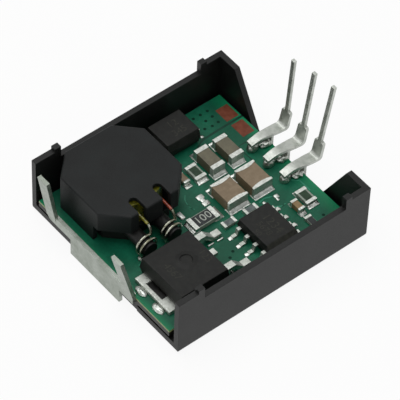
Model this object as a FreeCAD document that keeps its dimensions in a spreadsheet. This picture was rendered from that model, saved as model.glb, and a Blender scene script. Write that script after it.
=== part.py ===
import FreeCAD, Part
import math
import os
import re
import Sketcher

# A three-lead step-down converter module: a green board full of parts in an open black tray.
# Millimetres. +X runs from the open end to the lead end, +Y to the back wall and +Z up.
# The origin is the middle of the tray's flat underside.

SIZES = [
    ("housing_height", 7.4, "underside to the top of the wall ends"),
    ("wall", 0.65, "side walls, end wall and rim"),
    ("floor_thickness", 0.65, "tray floor"),
    ("edge_round", 0.6, "rounding of the tray's lower edges"),
    ("rim_height", 1.2, "low rim across the open end"),
    ("wall_drop", 1.0, "how far the middle of each long wall lies below its ends"),
    ("nub_from_end", 2.4, "wall end to the small nub"),
    ("nub_length", 0.75, "nub, along the wall"),
    ("nub_rise", 0.45, "nub above the wall end"),
    ("notch_top_width", 17.2, "end wall notch at the top of the wall"),
    ("notch_floor_width", 9.9, "end wall notch at the floor"),
    ("rest_height", 1.05, "board rests above the floor"),
    ("rest_size", 1.6, "board rests, each way"),
    ("rest_setback", 1.5, "first rest behind the open end"),
    ("board_thickness", 0.8, "circuit board"),
    ("board_side_gap", 0.6, "board to each side wall"),
    ("board_end_gap", 0.42, "board to the end wall"),
    ("board_overhang", 0.1, "board past the tray's open end"),
    ("bracket_thickness", 0.42, "bracket sheet"),
    ("bracket_foot", 0.1, "underside of the tray to the bracket's lowest edge"),
    ("bracket_top", 3.2, "underside of the tray to the top of the bracket's strip"),
    ("bracket_front", 6.33, "front wall's face to the bracket's front end"),
    ("bracket_span", 13.6, "bracket, end to end"),
    ("bracket_deep_front", 2.1, "bracket's front end to its deep middle"),
    ("bracket_deep_length", 7.7, "deep middle of the bracket"),
    ("bracket_front_rise", 1.85, "underside of the tray to the bracket's raised front end"),
    ("bracket_back_rise", 2.2, "underside of the tray to the bracket's raised back end"),
    ("bracket_round", 0.8, "rounded lower corner at the bracket's back end"),
    ("bracket_recess", 0.25, "recess in the rim behind the bracket"),
    ("bracket_recess_margin", 0.7, "recess past the deep middle at the back"),
    ("tab_width", 1.44, "bracket tabs"),
    ("tab_top", 8.9, "underside of the tray to the top of the tabs"),
    ("tab_bend", 2.6, "underside of the tray to where the tabs start to lean"),
    ("tab_lean_front", 14.0, "outward lean of the front tab, degrees"),
    ("tab_lean_back", 9.6, "outward lean of the back tab, degrees"),
    ("lead_pitch", 2.54, "between the leads"),
    ("lead_thickness", 0.36, "lead strip"),
    ("lead_width", 1.25, "lead strip at its bend"),
    ("lead_tip_width", 0.85, "lead strip at its inner tip"),
    ("lead_inboard", 2.5, "inner tip, in from the board's edge"),
    ("lead_tip_gap", 1.105, "capacitors to the leads' inner tips"),
    ("lead_crest", 1.65, "crest of the strip, in from the board's edge"),
    ("lead_outboard", 1.8, "bend of the strip, out from the board's edge"),
    ("lead_tip_rise", 1.2, "top of the inner tip above the board"),
    ("lead_crest_rise", 1.58, "top of the crest above the board"),
    ("lead_bend_rise", 1.05, "top of the strip at the bend above the board"),
    ("lead_shoulder_rise", 2.9, "shoulder of the upright part above the board"),
    ("shoulder_lean", 12.0, "outward lean of the upright part below the pin, degrees"),
    ("pin_width", 0.47, "upright pin"),
    ("pin_rise", 9.95, "top of the pins above the board"),
    ("pin_lean_1", 3.4, "outward lean of pin 1, degrees"),
    ("pin_lean_2", 7.5, "outward lean of pin 2, degrees"),
    ("pin_lean_3", 10.0, "outward lean of pin 3, degrees"),
    ("clip_width", 0.9, "edge clip of a lead"),
    ("clip_grip", 0.95, "clip fingers, in from the board's edge"),
    ("clip_finger", 0.35, "thickness of the clip fingers"),
    ("inductor_from_end", 1.05, "open end to the inductor"),
    ("inductor_overhang", 0.4, "inductor past the board's back edge"),
    ("inductor_length", 10.5, "inductor along X"),
    ("inductor_width", 10.6, "inductor along Y"),
    ("inductor_height", 4.55, "inductor above the board"),
    ("inductor_corner", 2.35, "cut corners of the octagon"),
    ("inductor_wall", 0.5, "wall and roof of the inductor's cap"),
    ("inductor_edge_round", 0.2, "rounded top edge of the cap"),
    ("slot_spacing", 2.95, "between the middles of the U slots"),
    ("slot_width", 0.95, "U slots"),
    ("slot_depth", 1.95, "U slots, in from the cap's front face"),
    ("window_clearance", 0.07, "pegs to the top of the opening under the cap's front"),
    ("window_return", 0.65, "opening past the cut corners, along the side walls"),
    ("base_thickness", 1.2, "inductor base"),
    ("base_clearance", 0.4, "base to the cap's inner wall"),
    ("peg_radius", 0.78, "wire pegs"),
    ("peg_root", 0.3, "wire pegs, in from the base's front face"),
    ("peg_ahead", 2.2, "wire pegs in front of the cap's face"),
    ("peg_gap", 0.75, "power switch to the ends of the pegs"),
    ("peg_spacing", 3.05, "between the wire pegs"),
    ("peg_shift", -0.65, "pegs' middle from the cap's middle, along X"),
    ("core_outer_radius", 3.6, "ferrite ring"),
    ("core_inner_radius", 2.1, "ferrite ring"),
    ("winding_thickness", 0.45, "winding round the ring"),
    ("winding_gap", 0.15, "winding to the cap's roof"),
    ("wire_diameter", 0.34, "winding wire"),
    ("wire_clearance", 0.04, "turns of wire to their peg and to the board"),
    ("turn_pitch", 0.4, "advance of one turn along the peg"),
    ("turns", 2.75, "turns round a peg"),
    ("turn_from_end", 0.25, "last turn's middle to the peg's end"),
    ("tab_from_end", 1.05, "open end to the power switch's tab"),
    ("switch_from_edge", 0.85, "board's front edge to the power switch"),
    ("switch_length", 6.1, "power switch body along X"),
    ("switch_width", 6.5, "power switch body along Y"),
    ("switch_height", 2.3, "power switch above the board"),
    ("switch_taper", 0.2, "draft of its faces, each side"),
    ("switch_parting", 1.0, "parting line above the board"),
    ("switch_standoff", 0.04, "moulding above the board"),
    ("tab_sheet", 0.5, "tab and leads of the power switch"),
    ("tab_sheet_width", 5.4, "its tab"),
    ("tab_sheet_reach", 1.0, "its tab past the body"),
    ("tab_sheet_short", 1.5, "its tab short of the body's lead side"),
    ("tab_notch_width", 2.3, "notch in the tab's outer edge"),
    ("tab_notch_depth", 0.35, "notch in the tab's outer edge"),
    ("switch_lead_width", 0.76, "its leads"),
    ("switch_lead_pitch", 2.28, "between its leads"),
    ("switch_lead_reach", 3.1, "its leads past the body"),
    ("switch_foot", 1.15, "flat foot of its leads"),
    ("switch_stub", 0.75, "cut middle lead past the body"),
    ("rectifier_gap", 0.95, "inductor to the rectifier's terminal"),
    ("rectifier_from_edge", 0.35, "board's back edge to the rectifier"),
    ("rectifier_row_gap", 1.27, "narrow capacitors to the rectifier, across the board"),
    ("rectifier_length", 4.3, "rectifier body along X"),
    ("rectifier_width", 3.5, "rectifier body along Y"),
    ("rectifier_height", 2.2, "rectifier above the board"),
    ("rectifier_taper", 0.15, "draft of its faces, each side"),
    ("terminal_sheet", 0.22, "its wrapped terminals"),
    ("terminal_width", 2.1, "its wrapped terminals"),
    ("terminal_reach", 0.45, "its terminals past the body"),
    ("controller_gap", 0.65, "power switch's lead tips to the controller's feet"),
    ("controller_from_edge", 0.85, "board's front edge to the controller"),
    ("controller_length", 3.9, "controller body along X"),
    ("controller_width", 4.9, "controller body along Y"),
    ("controller_height", 1.6, "controller above the board"),
    ("controller_standoff", 0.15, "controller body above the board"),
    ("controller_taper", 0.13, "draft of its faces, each side"),
    ("pin_row_span", 6.0, "foot tip to foot tip"),
    ("gull_pitch", 1.27, "between its leads"),
    ("gull_count", 4, "leads a side"),
    ("gull_width", 0.42, "its leads"),
    ("gull_sheet", 0.2, "its leads"),
    ("gull_foot", 0.6, "flat foot of its leads"),
    ("narrow_cap_length", 3.1, "narrow capacitors along Y"),
    ("narrow_cap_width", 1.55, "narrow capacitors along X"),
    ("narrow_cap_height", 1.3, "narrow capacitors"),
    ("wide_cap_length", 3.05, "wide capacitors along Y"),
    ("wide_cap_width", 2.42, "wide capacitors along X"),
    ("wide_cap_height", 1.4, "wide capacitors"),
    ("cap_band", 0.52, "metal end of a capacitor"),
    ("narrow_cap_gap", 0.425, "window chip 1 to the first narrow capacitor"),
    ("narrow_cap_space", 0.85, "between the narrow capacitors"),
    ("narrow_row_gap", 1.455, "wide capacitors to the narrow ones"),
    ("wide_cap_gap", 2.09, "inductor to the first wide capacitor"),
    ("wide_cap_space", 0.7, "between the wide capacitors"),
    ("wide_row_gap", 0.675, "small resistors to the wide capacitors"),
    ("end_metal", 0.04, "thickness of the metal on a chip's ends"),
    ("sense_gap", 1.155, "wound pegs to the sense resistor, along X"),
    ("sense_switch_gap", 0.4, "power switch to the sense resistor, across the board"),
    ("sense_row_gap", 0.65, "small resistors to the sense resistor, across the board"),
    ("sense_length", 3.1, "sense resistor along X"),
    ("sense_width", 1.6, "sense resistor along Y"),
    ("sense_height", 0.6, "sense resistor"),
    ("sense_band", 0.5, "its metal ends"),
    ("window_length", 2.0, "window chips along Y"),
    ("window_width", 1.3, "window chips along X"),
    ("window_height", 0.55, "window chips"),
    ("window_band", 0.4, "their metal ends"),
    ("window_1_gap", 2.0, "inductor to window chip 1"),
    ("window_1_shift", 0.13, "window chip 1 in front of the narrow capacitors' middle"),
    ("window_2_gap", 0.47, "small capacitor to window chip 2"),
    ("window_2_to_edge", 1.33, "window chip 2 to the board's lead edge"),
    ("window_2_shift", 0.52, "window chip 2 behind the small capacitor's middle"),
    ("small_cap_length", 1.5, "small capacitor along Y"),
    ("small_cap_width", 0.76, "small capacitor along X"),
    ("small_cap_height", 0.75, "small capacitor"),
    ("small_band", 0.3, "metal ends of the small chips"),
    ("small_cap_gap", 1.07, "controller's feet to the small capacitor"),
    ("small_cap_row_gap", 0.725, "small resistor 3 to the small capacitor"),
    ("small_chip_length", 1.55, "small resistors"),
    ("small_chip_width", 0.8, "small resistors"),
    ("small_chip_height", 0.45, "small resistors"),
    ("small_1_shift", 2.15, "small resistor 1 before the controller's middle"),
    ("small_2_shift", 0.6, "small resistor 2 past the controller's middle"),
    ("small_row_gap", 0.55, "controller to small resistors 1 and 2"),
    ("small_3_shift", 0.05, "small resistor 3 before the small capacitor's middle"),
    ("small_3_from_edge", 1.075, "board's front edge to small resistor 3"),
    ("solder_rise", 0.15, "solder above a lead's finger"),
    ("solder_spread", 0.35, "solder past a lead's finger"),
    ("tab_solder_reach", 0.6, "solder past the power switch's tab"),
    ("tab_solder_rise", 0.2, "solder at the tab, above the board"),
]

doc = FreeCAD.newDocument("converter")
sheet = doc.addObject("Spreadsheet::Sheet", "sizes")
mm = {}
for row, (alias, value, meaning) in enumerate(SIZES, start=1):
    sheet.set(f"A{row}", meaning)
    sheet.set(f"B{row}", str(value))
    sheet.setAlias(f"B{row}", alias)
    mm[alias] = value
doc.recompute()

# Where things lie, from the open end or from the front wall's outer face. Each follows from the
# sizes of its neighbours and a clearance, and the board and the tray follow from what they hold.
PLACES = [
    ("inductor_middle", "inductor_from_end + inductor_length/2"),
    ("inductor_side", "inductor_from_end + inductor_length"),
    ("peg_middle", "inductor_middle + peg_shift"),
    ("switch_middle", "tab_from_end + tab_sheet_reach + switch_length/2"),
    ("switch_lead_tips", "switch_middle + switch_length/2 + switch_lead_reach"),
    ("controller_middle", "switch_lead_tips + controller_gap + pin_row_span/2"),
    ("small_cap_middle", "controller_middle + pin_row_span/2 + small_cap_gap + small_cap_width/2"),
    ("window_2_middle", "small_cap_middle + small_cap_width/2 + window_2_gap + window_width/2"),
    ("small_1_middle", "controller_middle - small_1_shift"),
    ("small_2_middle", "controller_middle + small_2_shift"),
    ("small_3_middle", "small_cap_middle - small_3_shift"),
    ("pegs_end", "peg_middle + peg_spacing/2 + peg_radius + wire_diameter"),
    ("sense_middle", "pegs_end + sense_gap + sense_length/2"),
    ("rectifier_middle", "inductor_side + rectifier_gap + terminal_reach + rectifier_length/2"),
    ("window_1_middle", "inductor_side + window_1_gap + window_width/2"),
    ("narrow_cap_1", "window_1_middle + window_width/2 + narrow_cap_gap + narrow_cap_width/2"),
    ("narrow_cap_2", "narrow_cap_1 + narrow_cap_width + narrow_cap_space"),
    ("wide_cap_1", "inductor_side + wide_cap_gap + wide_cap_width/2"),
    ("wide_cap_2", "wide_cap_1 + wide_cap_width + wide_cap_space"),
    ("narrow_caps_side", "narrow_cap_2 + narrow_cap_width/2"),
    ("wide_caps_side", "wide_cap_2 + wide_cap_width/2"),
    ("lead_tips", "max(narrow_caps_side; wide_caps_side) + lead_tip_gap"),
    ("board_end", "max(lead_tips + lead_inboard; window_2_middle + window_width/2 + window_2_to_edge)"),
    ("housing_length", "board_end + board_end_gap + wall"),
    ("board_front", "wall + board_side_gap"),
    ("switch_row", "board_front + switch_from_edge + switch_width/2"),
    ("inductor_face", "switch_row + switch_width/2 + peg_gap + peg_ahead"),
    ("controller_row", "board_front + controller_from_edge + controller_width/2"),
    ("small_row", "controller_row + controller_width/2 + small_row_gap + small_chip_width/2"),
    ("small_row_back", "small_row + small_chip_width/2"),
    ("small_3_row", "board_front + small_3_from_edge + small_chip_length/2"),
    ("small_cap_row", "small_3_row + small_chip_length/2 + small_cap_row_gap + small_cap_length/2"),
    ("window_2_row", "small_cap_row + window_2_shift"),
    ("sense_front", "max(switch_row + switch_width/2 + sense_switch_gap; small_row_back + sense_row_gap)"),
    ("sense_row", "sense_front + sense_width/2"),
    ("wide_cap_row", "small_row_back + wide_row_gap + wide_cap_length/2"),
    ("narrow_cap_row", "wide_cap_row + wide_cap_length/2 + narrow_row_gap + narrow_cap_length/2"),
    ("window_1_row", "narrow_cap_row - window_1_shift"),
    ("rectifier_row", "narrow_cap_row + narrow_cap_length/2 + rectifier_row_gap + rectifier_width/2"),
    ("rectifier_back", "rectifier_row + rectifier_width/2 + rectifier_from_edge"),
    ("board_back", "max(inductor_face + inductor_width - inductor_overhang; rectifier_back)"),
    ("housing_width", "board_back + board_side_gap + wall"),
]
places = doc.addObject("App::VarSet", "places")
place_names = {alias for alias, formula in PLACES}


def linked(text):
    """Point each name in an expression at its cell in the sheet or at its place."""
    def owner(found):
        name = found.group()
        if name in mm:
            return "sizes." + name
        return "places." + name if name in place_names else name
    return re.sub(r"[a-z_][a-z_0-9]*", owner, text)


def bind(item, prop, text):
    item.setExpression(prop, linked(text))


for alias, formula in PLACES:
    places.addProperty("App::PropertyFloat", alias)
    bind(places, alias, formula)
doc.recompute()
there = {alias: getattr(places, alias) for alias in place_names}

# Shared planes in the model's own frame.
OPEN_END = "(-housing_length/2)"
LEAD_END = "(housing_length/2)"
FRONT = "(-housing_width/2)"
BACK = "(housing_width/2)"
BOARD_FRONT = "(-housing_width/2 + board_front)"
BOARD_BACK = "(-housing_width/2 + board_back)"
BOARD_OPEN = "(-housing_length/2 - board_overhang)"
BOARD_END = "(-housing_length/2 + board_end)"
BOARD_UNDER = "(floor_thickness + rest_height)"
BOARD_TOP = "(floor_thickness + rest_height + board_thickness)"

NEAR = 0.001
TURN_SIDES = 12
MITRED = 1
finished = []


def finish(item, node):
    """Name a finished piece after its node."""
    item.Label = node
    finished.append(item)
    return item


def box(name, x, y, z):
    """A block between two values on each axis."""
    block = doc.addObject("Part::Box", name)
    for side, axis, (low, high) in (("Length", "x", x), ("Width", "y", y), ("Height", "z", z)):
        bind(block, side, f"({high}) - ({low})")
        bind(block, f"Placement.Base.{axis}", low)
    return block


def cylinder(name, x, y, z, radius):
    """An upright cylinder between two heights."""
    rod = doc.addObject("Part::Cylinder", name)
    bind(rod, "Radius", radius)
    bind(rod, "Height", f"({z[1]}) - ({z[0]})")
    bind(rod, "Placement.Base.x", x)
    bind(rod, "Placement.Base.y", y)
    bind(rod, "Placement.Base.z", z[0])
    return rod


def frustum(name, x, y, z, low_size, high_size):
    """A four-sided taper between two rectangles, centred on x and y."""
    wedge = doc.addObject("Part::Wedge", name)
    bind(wedge, "Ymin", "0")
    bind(wedge, "Ymax", f"({z[1]}) - ({z[0]})")
    for prop, text in (("Xmin", f"-({low_size[0]})/2"), ("Xmax", f"({low_size[0]})/2"),
                       ("Zmin", f"-({low_size[1]})/2"), ("Zmax", f"({low_size[1]})/2"),
                       ("X2min", f"-({high_size[0]})/2"), ("X2max", f"({high_size[0]})/2"),
                       ("Z2min", f"-({high_size[1]})/2"), ("Z2max", f"({high_size[1]})/2")):
        bind(wedge, prop, text)
    wedge.Placement.Rotation = FreeCAD.Rotation(FreeCAD.Vector(1, 0, 0), 90)
    bind(wedge, "Placement.Base.x", x)
    bind(wedge, "Placement.Base.y", y)
    bind(wedge, "Placement.Base.z", z[0])
    return wedge


def fuse(name, pieces):
    joined = doc.addObject("Part::MultiFuse", name)
    joined.Shapes = pieces
    joined.Refine = True
    return joined


def group(name, pieces):
    """Separate solids kept in one node."""
    together = doc.addObject("Part::Compound", name)
    together.Links = pieces
    return together


def cut(name, base, tool):
    rest = doc.addObject("Part::Cut", name)
    rest.Base = base
    rest.Tool = tool
    rest.Refine = True
    return rest


def new_body(name):
    return doc.addObject("PartDesign::Body", name)


def sketch_on(body, role, name, lift="0"):
    """An empty sketch on one of the body's own origin planes, raised along its normal."""
    plane = next(item for item in body.Origin.OriginFeatures if item.Role == role)
    sketch = body.newObject("Sketcher::SketchObject", name)
    sketch.AttachmentSupport = [(plane, "")]
    sketch.MapMode = "FlatFace"
    bind(sketch, "AttachmentOffset.Base.z", lift)
    return sketch


def outline(sketch, corners):
    """Add a closed outline whose every corner is held by two dimensions."""
    first = sketch.GeometryCount
    count = len(corners)
    start = [FreeCAD.Vector(math.cos(2 * math.pi * i / count), math.sin(2 * math.pi * i / count), 0)
             for i in range(count)]
    for i in range(count):
        sketch.addGeometry(Part.LineSegment(start[i], start[(i + 1) % count]), False)
    for i in range(count):
        sketch.addConstraint(Sketcher.Constraint("Coincident", first + i, 2, first + (i + 1) % count, 1))
    for i, (across, up) in enumerate(corners):
        for kind, value, text in (("DistanceX", start[i].x, across), ("DistanceY", start[i].y, up)):
            held = sketch.addConstraint(Sketcher.Constraint(kind, -1, 1, first + i, 1, value))
            bind(sketch, f"Constraints[{held}]", text)


def rectangle(sketch, across, up):
    outline(sketch, [(across[0], up[0]), (across[1], up[0]), (across[1], up[1]), (across[0], up[1])])


def round_hole(sketch, across, up, radius):
    """Add a circle held by its middle and its radius."""
    ring = sketch.addGeometry(Part.Circle(FreeCAD.Vector(1, 1, 0), FreeCAD.Vector(0, 0, 1), 1), False)
    for kind, text in (("DistanceX", across), ("DistanceY", up)):
        held = sketch.addConstraint(Sketcher.Constraint(kind, -1, 1, ring, 3, 1))
        bind(sketch, f"Constraints[{held}]", text)
    held = sketch.addConstraint(Sketcher.Constraint("Radius", ring, 1))
    bind(sketch, f"Constraints[{held}]", radius)


def pad(body, sketch, name, length, both_ways=False):
    feature = body.newObject("PartDesign::Pad", name)
    feature.Profile = sketch
    feature.SideType = "Symmetric" if both_ways else "One side"
    bind(feature, "Length", length)
    return feature


def pocket(body, sketch, name, length, along_normal=False, both_ways=False):
    feature = body.newObject("PartDesign::Pocket", name)
    feature.Profile = sketch
    feature.SideType = "Symmetric" if both_ways else "One side"
    feature.Reversed = along_normal
    bind(feature, "Length", length)
    return feature


def edges_where(shape, wanted):
    """Names of the edges whose ends all pass a test."""
    return [f"Edge{number}" for number, edge in enumerate(shape.Edges, start=1)
            if all(wanted(vertex.Point) for vertex in edge.Vertexes)]


def rounded(body, name, base, edges, radius):
    feature = body.newObject("PartDesign::Fillet", name)
    feature.Base = (base, edges)
    bind(feature, "Radius", radius)
    return feature


def housing():
    """The moulded tray: floor, four walls, rim, notch, nubs, recess and board rests."""
    body = new_body("housing_body")
    plan = sketch_on(body, "XY_Plane", "housing_plan")
    rectangle(plan, (OPEN_END, LEAD_END), (FRONT, BACK))
    block = pad(body, plan, "housing_block", "housing_height")
    doc.recompute()
    rounded(body, "housing_lower_edges", block, edges_where(block.Shape, lambda p: p.z < NEAR), "edge_round")

    inside = sketch_on(body, "XY_Plane", "housing_inside", "housing_height")
    rectangle(inside, (f"{OPEN_END} + wall", f"{LEAD_END} - wall"), (f"{FRONT} + wall", f"{BACK} - wall"))
    pocket(body, inside, "housing_hollow", "housing_height - floor_thickness")

    mouth = sketch_on(body, "YZ_Plane", "housing_mouth", OPEN_END)
    rectangle(mouth, (f"{FRONT} + wall", f"{BACK} - wall"), ("rim_height", "housing_height + wall"))
    pocket(body, mouth, "housing_open_end", "2*wall", both_ways=True)

    saddle = sketch_on(body, "XZ_Plane", "housing_saddle")
    rectangle(saddle,
              (f"{OPEN_END} + nub_from_end + nub_length", f"{LEAD_END} - nub_from_end - nub_length"),
              ("housing_height - wall_drop", "housing_height + wall"))
    pocket(body, saddle, "housing_wall_middle", "housing_width + wall", both_ways=True)

    notch = sketch_on(body, "YZ_Plane", "housing_notch", LEAD_END)
    outline(notch, [("-notch_floor_width/2", "floor_thickness"), ("notch_floor_width/2", "floor_thickness"),
                    ("notch_top_width/2", "housing_height"), ("notch_top_width/2", "housing_height + wall"),
                    ("-notch_top_width/2", "housing_height + wall"), ("-notch_top_width/2", "housing_height")])
    pocket(body, notch, "housing_end_notch", "2*wall", both_ways=True)

    recess = sketch_on(body, "YZ_Plane", "housing_recess", OPEN_END)
    rectangle(recess, (f"{FRONT} + bracket_front",
                       f"{FRONT} + bracket_front + bracket_deep_front + bracket_deep_length"
                       " + bracket_recess_margin"), ("-wall", "rim_height + wall"))
    pocket(body, recess, "housing_rim_recess", "2*bracket_recess", both_ways=True)

    nubs = sketch_on(body, "XY_Plane", "housing_nubs", "housing_height - wall_drop")
    for low_x, high_x in ((f"{OPEN_END} + nub_from_end", f"{OPEN_END} + nub_from_end + nub_length"),
                          (f"{LEAD_END} - nub_from_end - nub_length", f"{LEAD_END} - nub_from_end")):
        rectangle(nubs, (low_x, high_x), (FRONT, f"{FRONT} + wall"))
        rectangle(nubs, (low_x, high_x), (f"{BACK} - wall", BACK))
    pad(body, nubs, "housing_nub_pads", "wall_drop + nub_rise")

    rests = sketch_on(body, "XY_Plane", "housing_rests", "floor_thickness/2")
    for low_x in (f"{OPEN_END} + rest_setback", f"{LEAD_END} - wall - rest_setback - rest_size"):
        rectangle(rests, (low_x, f"{low_x} + rest_size"), (f"{FRONT} + wall/2", f"{FRONT} + wall + rest_size"))
        rectangle(rests, (low_x, f"{low_x} + rest_size"), (f"{BACK} - wall - rest_size", f"{BACK} - wall/2"))
    pad(body, rests, "housing_rest_pads", "floor_thickness/2 + rest_height")
    return finish(body, "housing")


def circuit_board():
    board = box("board", (BOARD_OPEN, BOARD_END), (BOARD_FRONT, BOARD_BACK), (BOARD_UNDER, BOARD_TOP))
    return finish(board, "circuit_board")


def mounting_bracket():
    """A sheet strip across the open end, with a deep middle and two tabs that lean outwards."""
    body = new_body("bracket")
    front = f"({FRONT} + bracket_front)"
    back = f"({front} + bracket_span)"
    deep_front = f"({front} + bracket_deep_front)"
    deep_back = f"({deep_front} + bracket_deep_length)"
    outer = f"({BOARD_OPEN} - bracket_thickness)"
    plan = sketch_on(body, "YZ_Plane", "bracket_plan", outer)
    outline(plan, [(front, "bracket_front_rise"), (deep_front, "bracket_front_rise"),
                   (deep_front, "bracket_foot"), (deep_back, "bracket_foot"),
                   (deep_back, "bracket_back_rise"), (back, "bracket_back_rise"),
                   (back, "bracket_top"), (front, "bracket_top")])
    strip = pad(body, plan, "bracket_strip", "bracket_thickness")
    doc.recompute()
    back_y = strip.Shape.BoundBox.YMax - NEAR
    corner = edges_where(strip.Shape, lambda p: p.y > back_y and p.z < mm["bracket_top"] - NEAR)
    rounded(body, "bracket_corner", strip, corner, "bracket_round")
    for side, low_y, lean in (("front", front, "tab_lean_front"),
                              ("back", f"({back} - tab_width)", "tab_lean_back")):
        shift = f"(tab_top - tab_bend)*tan({lean}*1 deg)"
        tab = sketch_on(body, "XZ_Plane", f"bracket_tab_{side}", f"-({low_y} + tab_width)")
        outline(tab, [(outer, "tab_bend"), (BOARD_OPEN, "tab_bend"),
                      (f"{BOARD_OPEN} - {shift}", "tab_top"), (f"{outer} - {shift}", "tab_top")])
        pad(body, tab, f"bracket_tab_{side}_pad", "tab_width")
    return finish(body, "mounting_bracket")


def lead(number, middle):
    """An edge-clip lead: strip over the board, bend, shoulder, leaning pin and clip."""
    body = new_body(f"lead_{number}_body")
    bend_x = f"({BOARD_END} + lead_outboard)"
    bend_z = f"({BOARD_TOP} + lead_bend_rise)"
    neck_x = f"({bend_x} + (lead_shoulder_rise - lead_bend_rise)*tan(shoulder_lean*1 deg))"
    neck_z = f"({BOARD_TOP} + lead_shoulder_rise)"
    pin_x = f"({neck_x} + (pin_rise - lead_shoulder_rise)*tan(pin_lean_{number}*1 deg))"
    pin_top = f"({BOARD_TOP} + pin_rise)"
    tip_x = f"({BOARD_END} - lead_inboard)"
    crest_x = f"({BOARD_END} - lead_crest)"
    side = sketch_on(body, "XZ_Plane", f"lead_{number}_side", f"-({middle})")
    outline(side, [(tip_x, f"{BOARD_TOP} + lead_tip_rise"), (crest_x, f"{BOARD_TOP} + lead_crest_rise"),
                   (bend_x, bend_z), (neck_x, neck_z), (pin_x, pin_top),
                   (f"{pin_x} + lead_thickness", pin_top), (f"{neck_x} + lead_thickness", neck_z),
                   (f"{bend_x} + lead_thickness", f"{bend_z} - lead_thickness"),
                   (crest_x, f"{BOARD_TOP} + lead_crest_rise - lead_thickness"),
                   (tip_x, f"{BOARD_TOP} + lead_tip_rise - lead_thickness")])
    pad(body, side, f"lead_{number}_strip", "lead_width", both_ways=True)

    shoulder = sketch_on(body, "YZ_Plane", f"lead_{number}_shoulder", bend_x)
    for sign in ("-", "+"):
        rectangle(shoulder, (f"{middle} {sign} pin_width/2", f"{middle} {sign} lead_width"),
                  (neck_z, f"{pin_top} + wall"))
    pocket(body, shoulder, f"lead_{number}_shoulder_cut", "2*pin_rise", both_ways=True)

    taper = sketch_on(body, "XY_Plane", f"lead_{number}_taper", f"{pin_top} + wall")
    for sign in ("-", "+"):
        outline(taper, [(f"{tip_x} - wall", f"{middle} {sign} lead_tip_width/2"),
                        (tip_x, f"{middle} {sign} lead_tip_width/2"),
                        (f"{BOARD_END} + lead_outboard/2", f"{middle} {sign} lead_width/2"),
                        (f"{tip_x} - wall", f"{middle} {sign} lead_width")])
    pocket(body, taper, f"lead_{number}_taper_cut", f"{pin_top} + wall")

    clip = sketch_on(body, "XZ_Plane", f"lead_{number}_clip", f"-({middle})")
    upper = f"({BOARD_TOP} + clip_finger)"
    lower = f"({BOARD_UNDER} - clip_finger)"
    inner = f"({BOARD_END} - clip_grip)"
    outer = f"({BOARD_END} + clip_finger)"
    outline(clip, [(inner, lower), (outer, lower), (outer, bend_z), (BOARD_END, bend_z),
                   (BOARD_END, upper), (inner, upper),
                   (inner, BOARD_TOP), (BOARD_END, BOARD_TOP), (BOARD_END, BOARD_UNDER), (inner, BOARD_UNDER)])
    pad(body, clip, f"lead_{number}_clip_pad", "clip_width", both_ways=True)
    return finish(body, f"lead_{number}")


INDUCTOR_X = f"({OPEN_END} + inductor_middle)"
INDUCTOR_FACE = f"({FRONT} + inductor_face)"
INDUCTOR_Y = f"({FRONT} + inductor_face + inductor_width/2)"
INDUCTOR_TOP = f"({BOARD_TOP} + inductor_height)"
PEG_X = f"({OPEN_END} + peg_middle)"
PEG_RISE = "(peg_radius + wire_diameter + 2*wire_clearance)"
BASE_INSET = "(inductor_wall + base_clearance)"


def octagon(sketch, inset):
    """The inductor's outline, moved in by an inset."""
    half_x = f"(inductor_length/2 - {inset})"
    half_y = f"(inductor_width/2 - {inset})"
    corner = f"(inductor_corner - (2 - sqrt(2))*{inset})"
    corners = []
    for sx, sy, x_first in ((-1, -1, False), (1, -1, True), (1, 1, False), (-1, 1, True)):
        near_x = (f"{INDUCTOR_X} + {sx}*{half_x}", f"{INDUCTOR_Y} + {sy}*({half_y} - {corner})")
        near_y = (f"{INDUCTOR_X} + {sx}*({half_x} - {corner})", f"{INDUCTOR_Y} + {sy}*{half_y}")
        corners += [near_y, near_x] if x_first else [near_x, near_y]
    outline(sketch, corners)


def inductor_case():
    """An octagonal moulded cap, open below and along the foot of its front, with two U slots."""
    body = new_body("cap")
    plan = sketch_on(body, "XY_Plane", "cap_plan", BOARD_TOP)
    octagon(plan, "0")
    block = pad(body, plan, "cap_block", "inductor_height")
    doc.recompute()
    top = block.Shape.BoundBox.ZMax - NEAR
    rounded(body, "cap_top_edge", block, edges_where(block.Shape, lambda p: p.z > top), "inductor_edge_round")
    inside = sketch_on(body, "XY_Plane", "cap_inside", BOARD_TOP)
    octagon(inside, "inductor_wall")
    pocket(body, inside, "cap_hollow", "inductor_height - inductor_wall", along_normal=True)
    window = sketch_on(body, "XY_Plane", "cap_window", BOARD_TOP)
    rectangle(window, (f"{INDUCTOR_X} - inductor_length", f"{INDUCTOR_X} + inductor_length"),
              (f"{INDUCTOR_FACE} - wall", f"{INDUCTOR_FACE} + inductor_corner + window_return"))
    pocket(body, window, "cap_window_cut", f"{PEG_RISE} + peg_radius + window_clearance", along_normal=True)
    slots = sketch_on(body, "XY_Plane", "cap_slots", INDUCTOR_TOP)
    ends = sketch_on(body, "XY_Plane", "cap_slot_ends", INDUCTOR_TOP)
    for side in ("-", "+"):
        middle = f"({INDUCTOR_X} {side} slot_spacing/2)"
        straight = f"({INDUCTOR_FACE} + slot_depth - slot_width/2)"
        rectangle(slots, (f"{middle} - slot_width/2", f"{middle} + slot_width/2"),
                  (f"{INDUCTOR_FACE} - wall", straight))
        round_hole(ends, middle, straight, "slot_width/2")
    pocket(body, slots, "cap_slot_cut", "inductor_height")
    pocket(body, ends, "cap_slot_end_cut", "inductor_height")
    return finish(body, "inductor_case")


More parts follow.
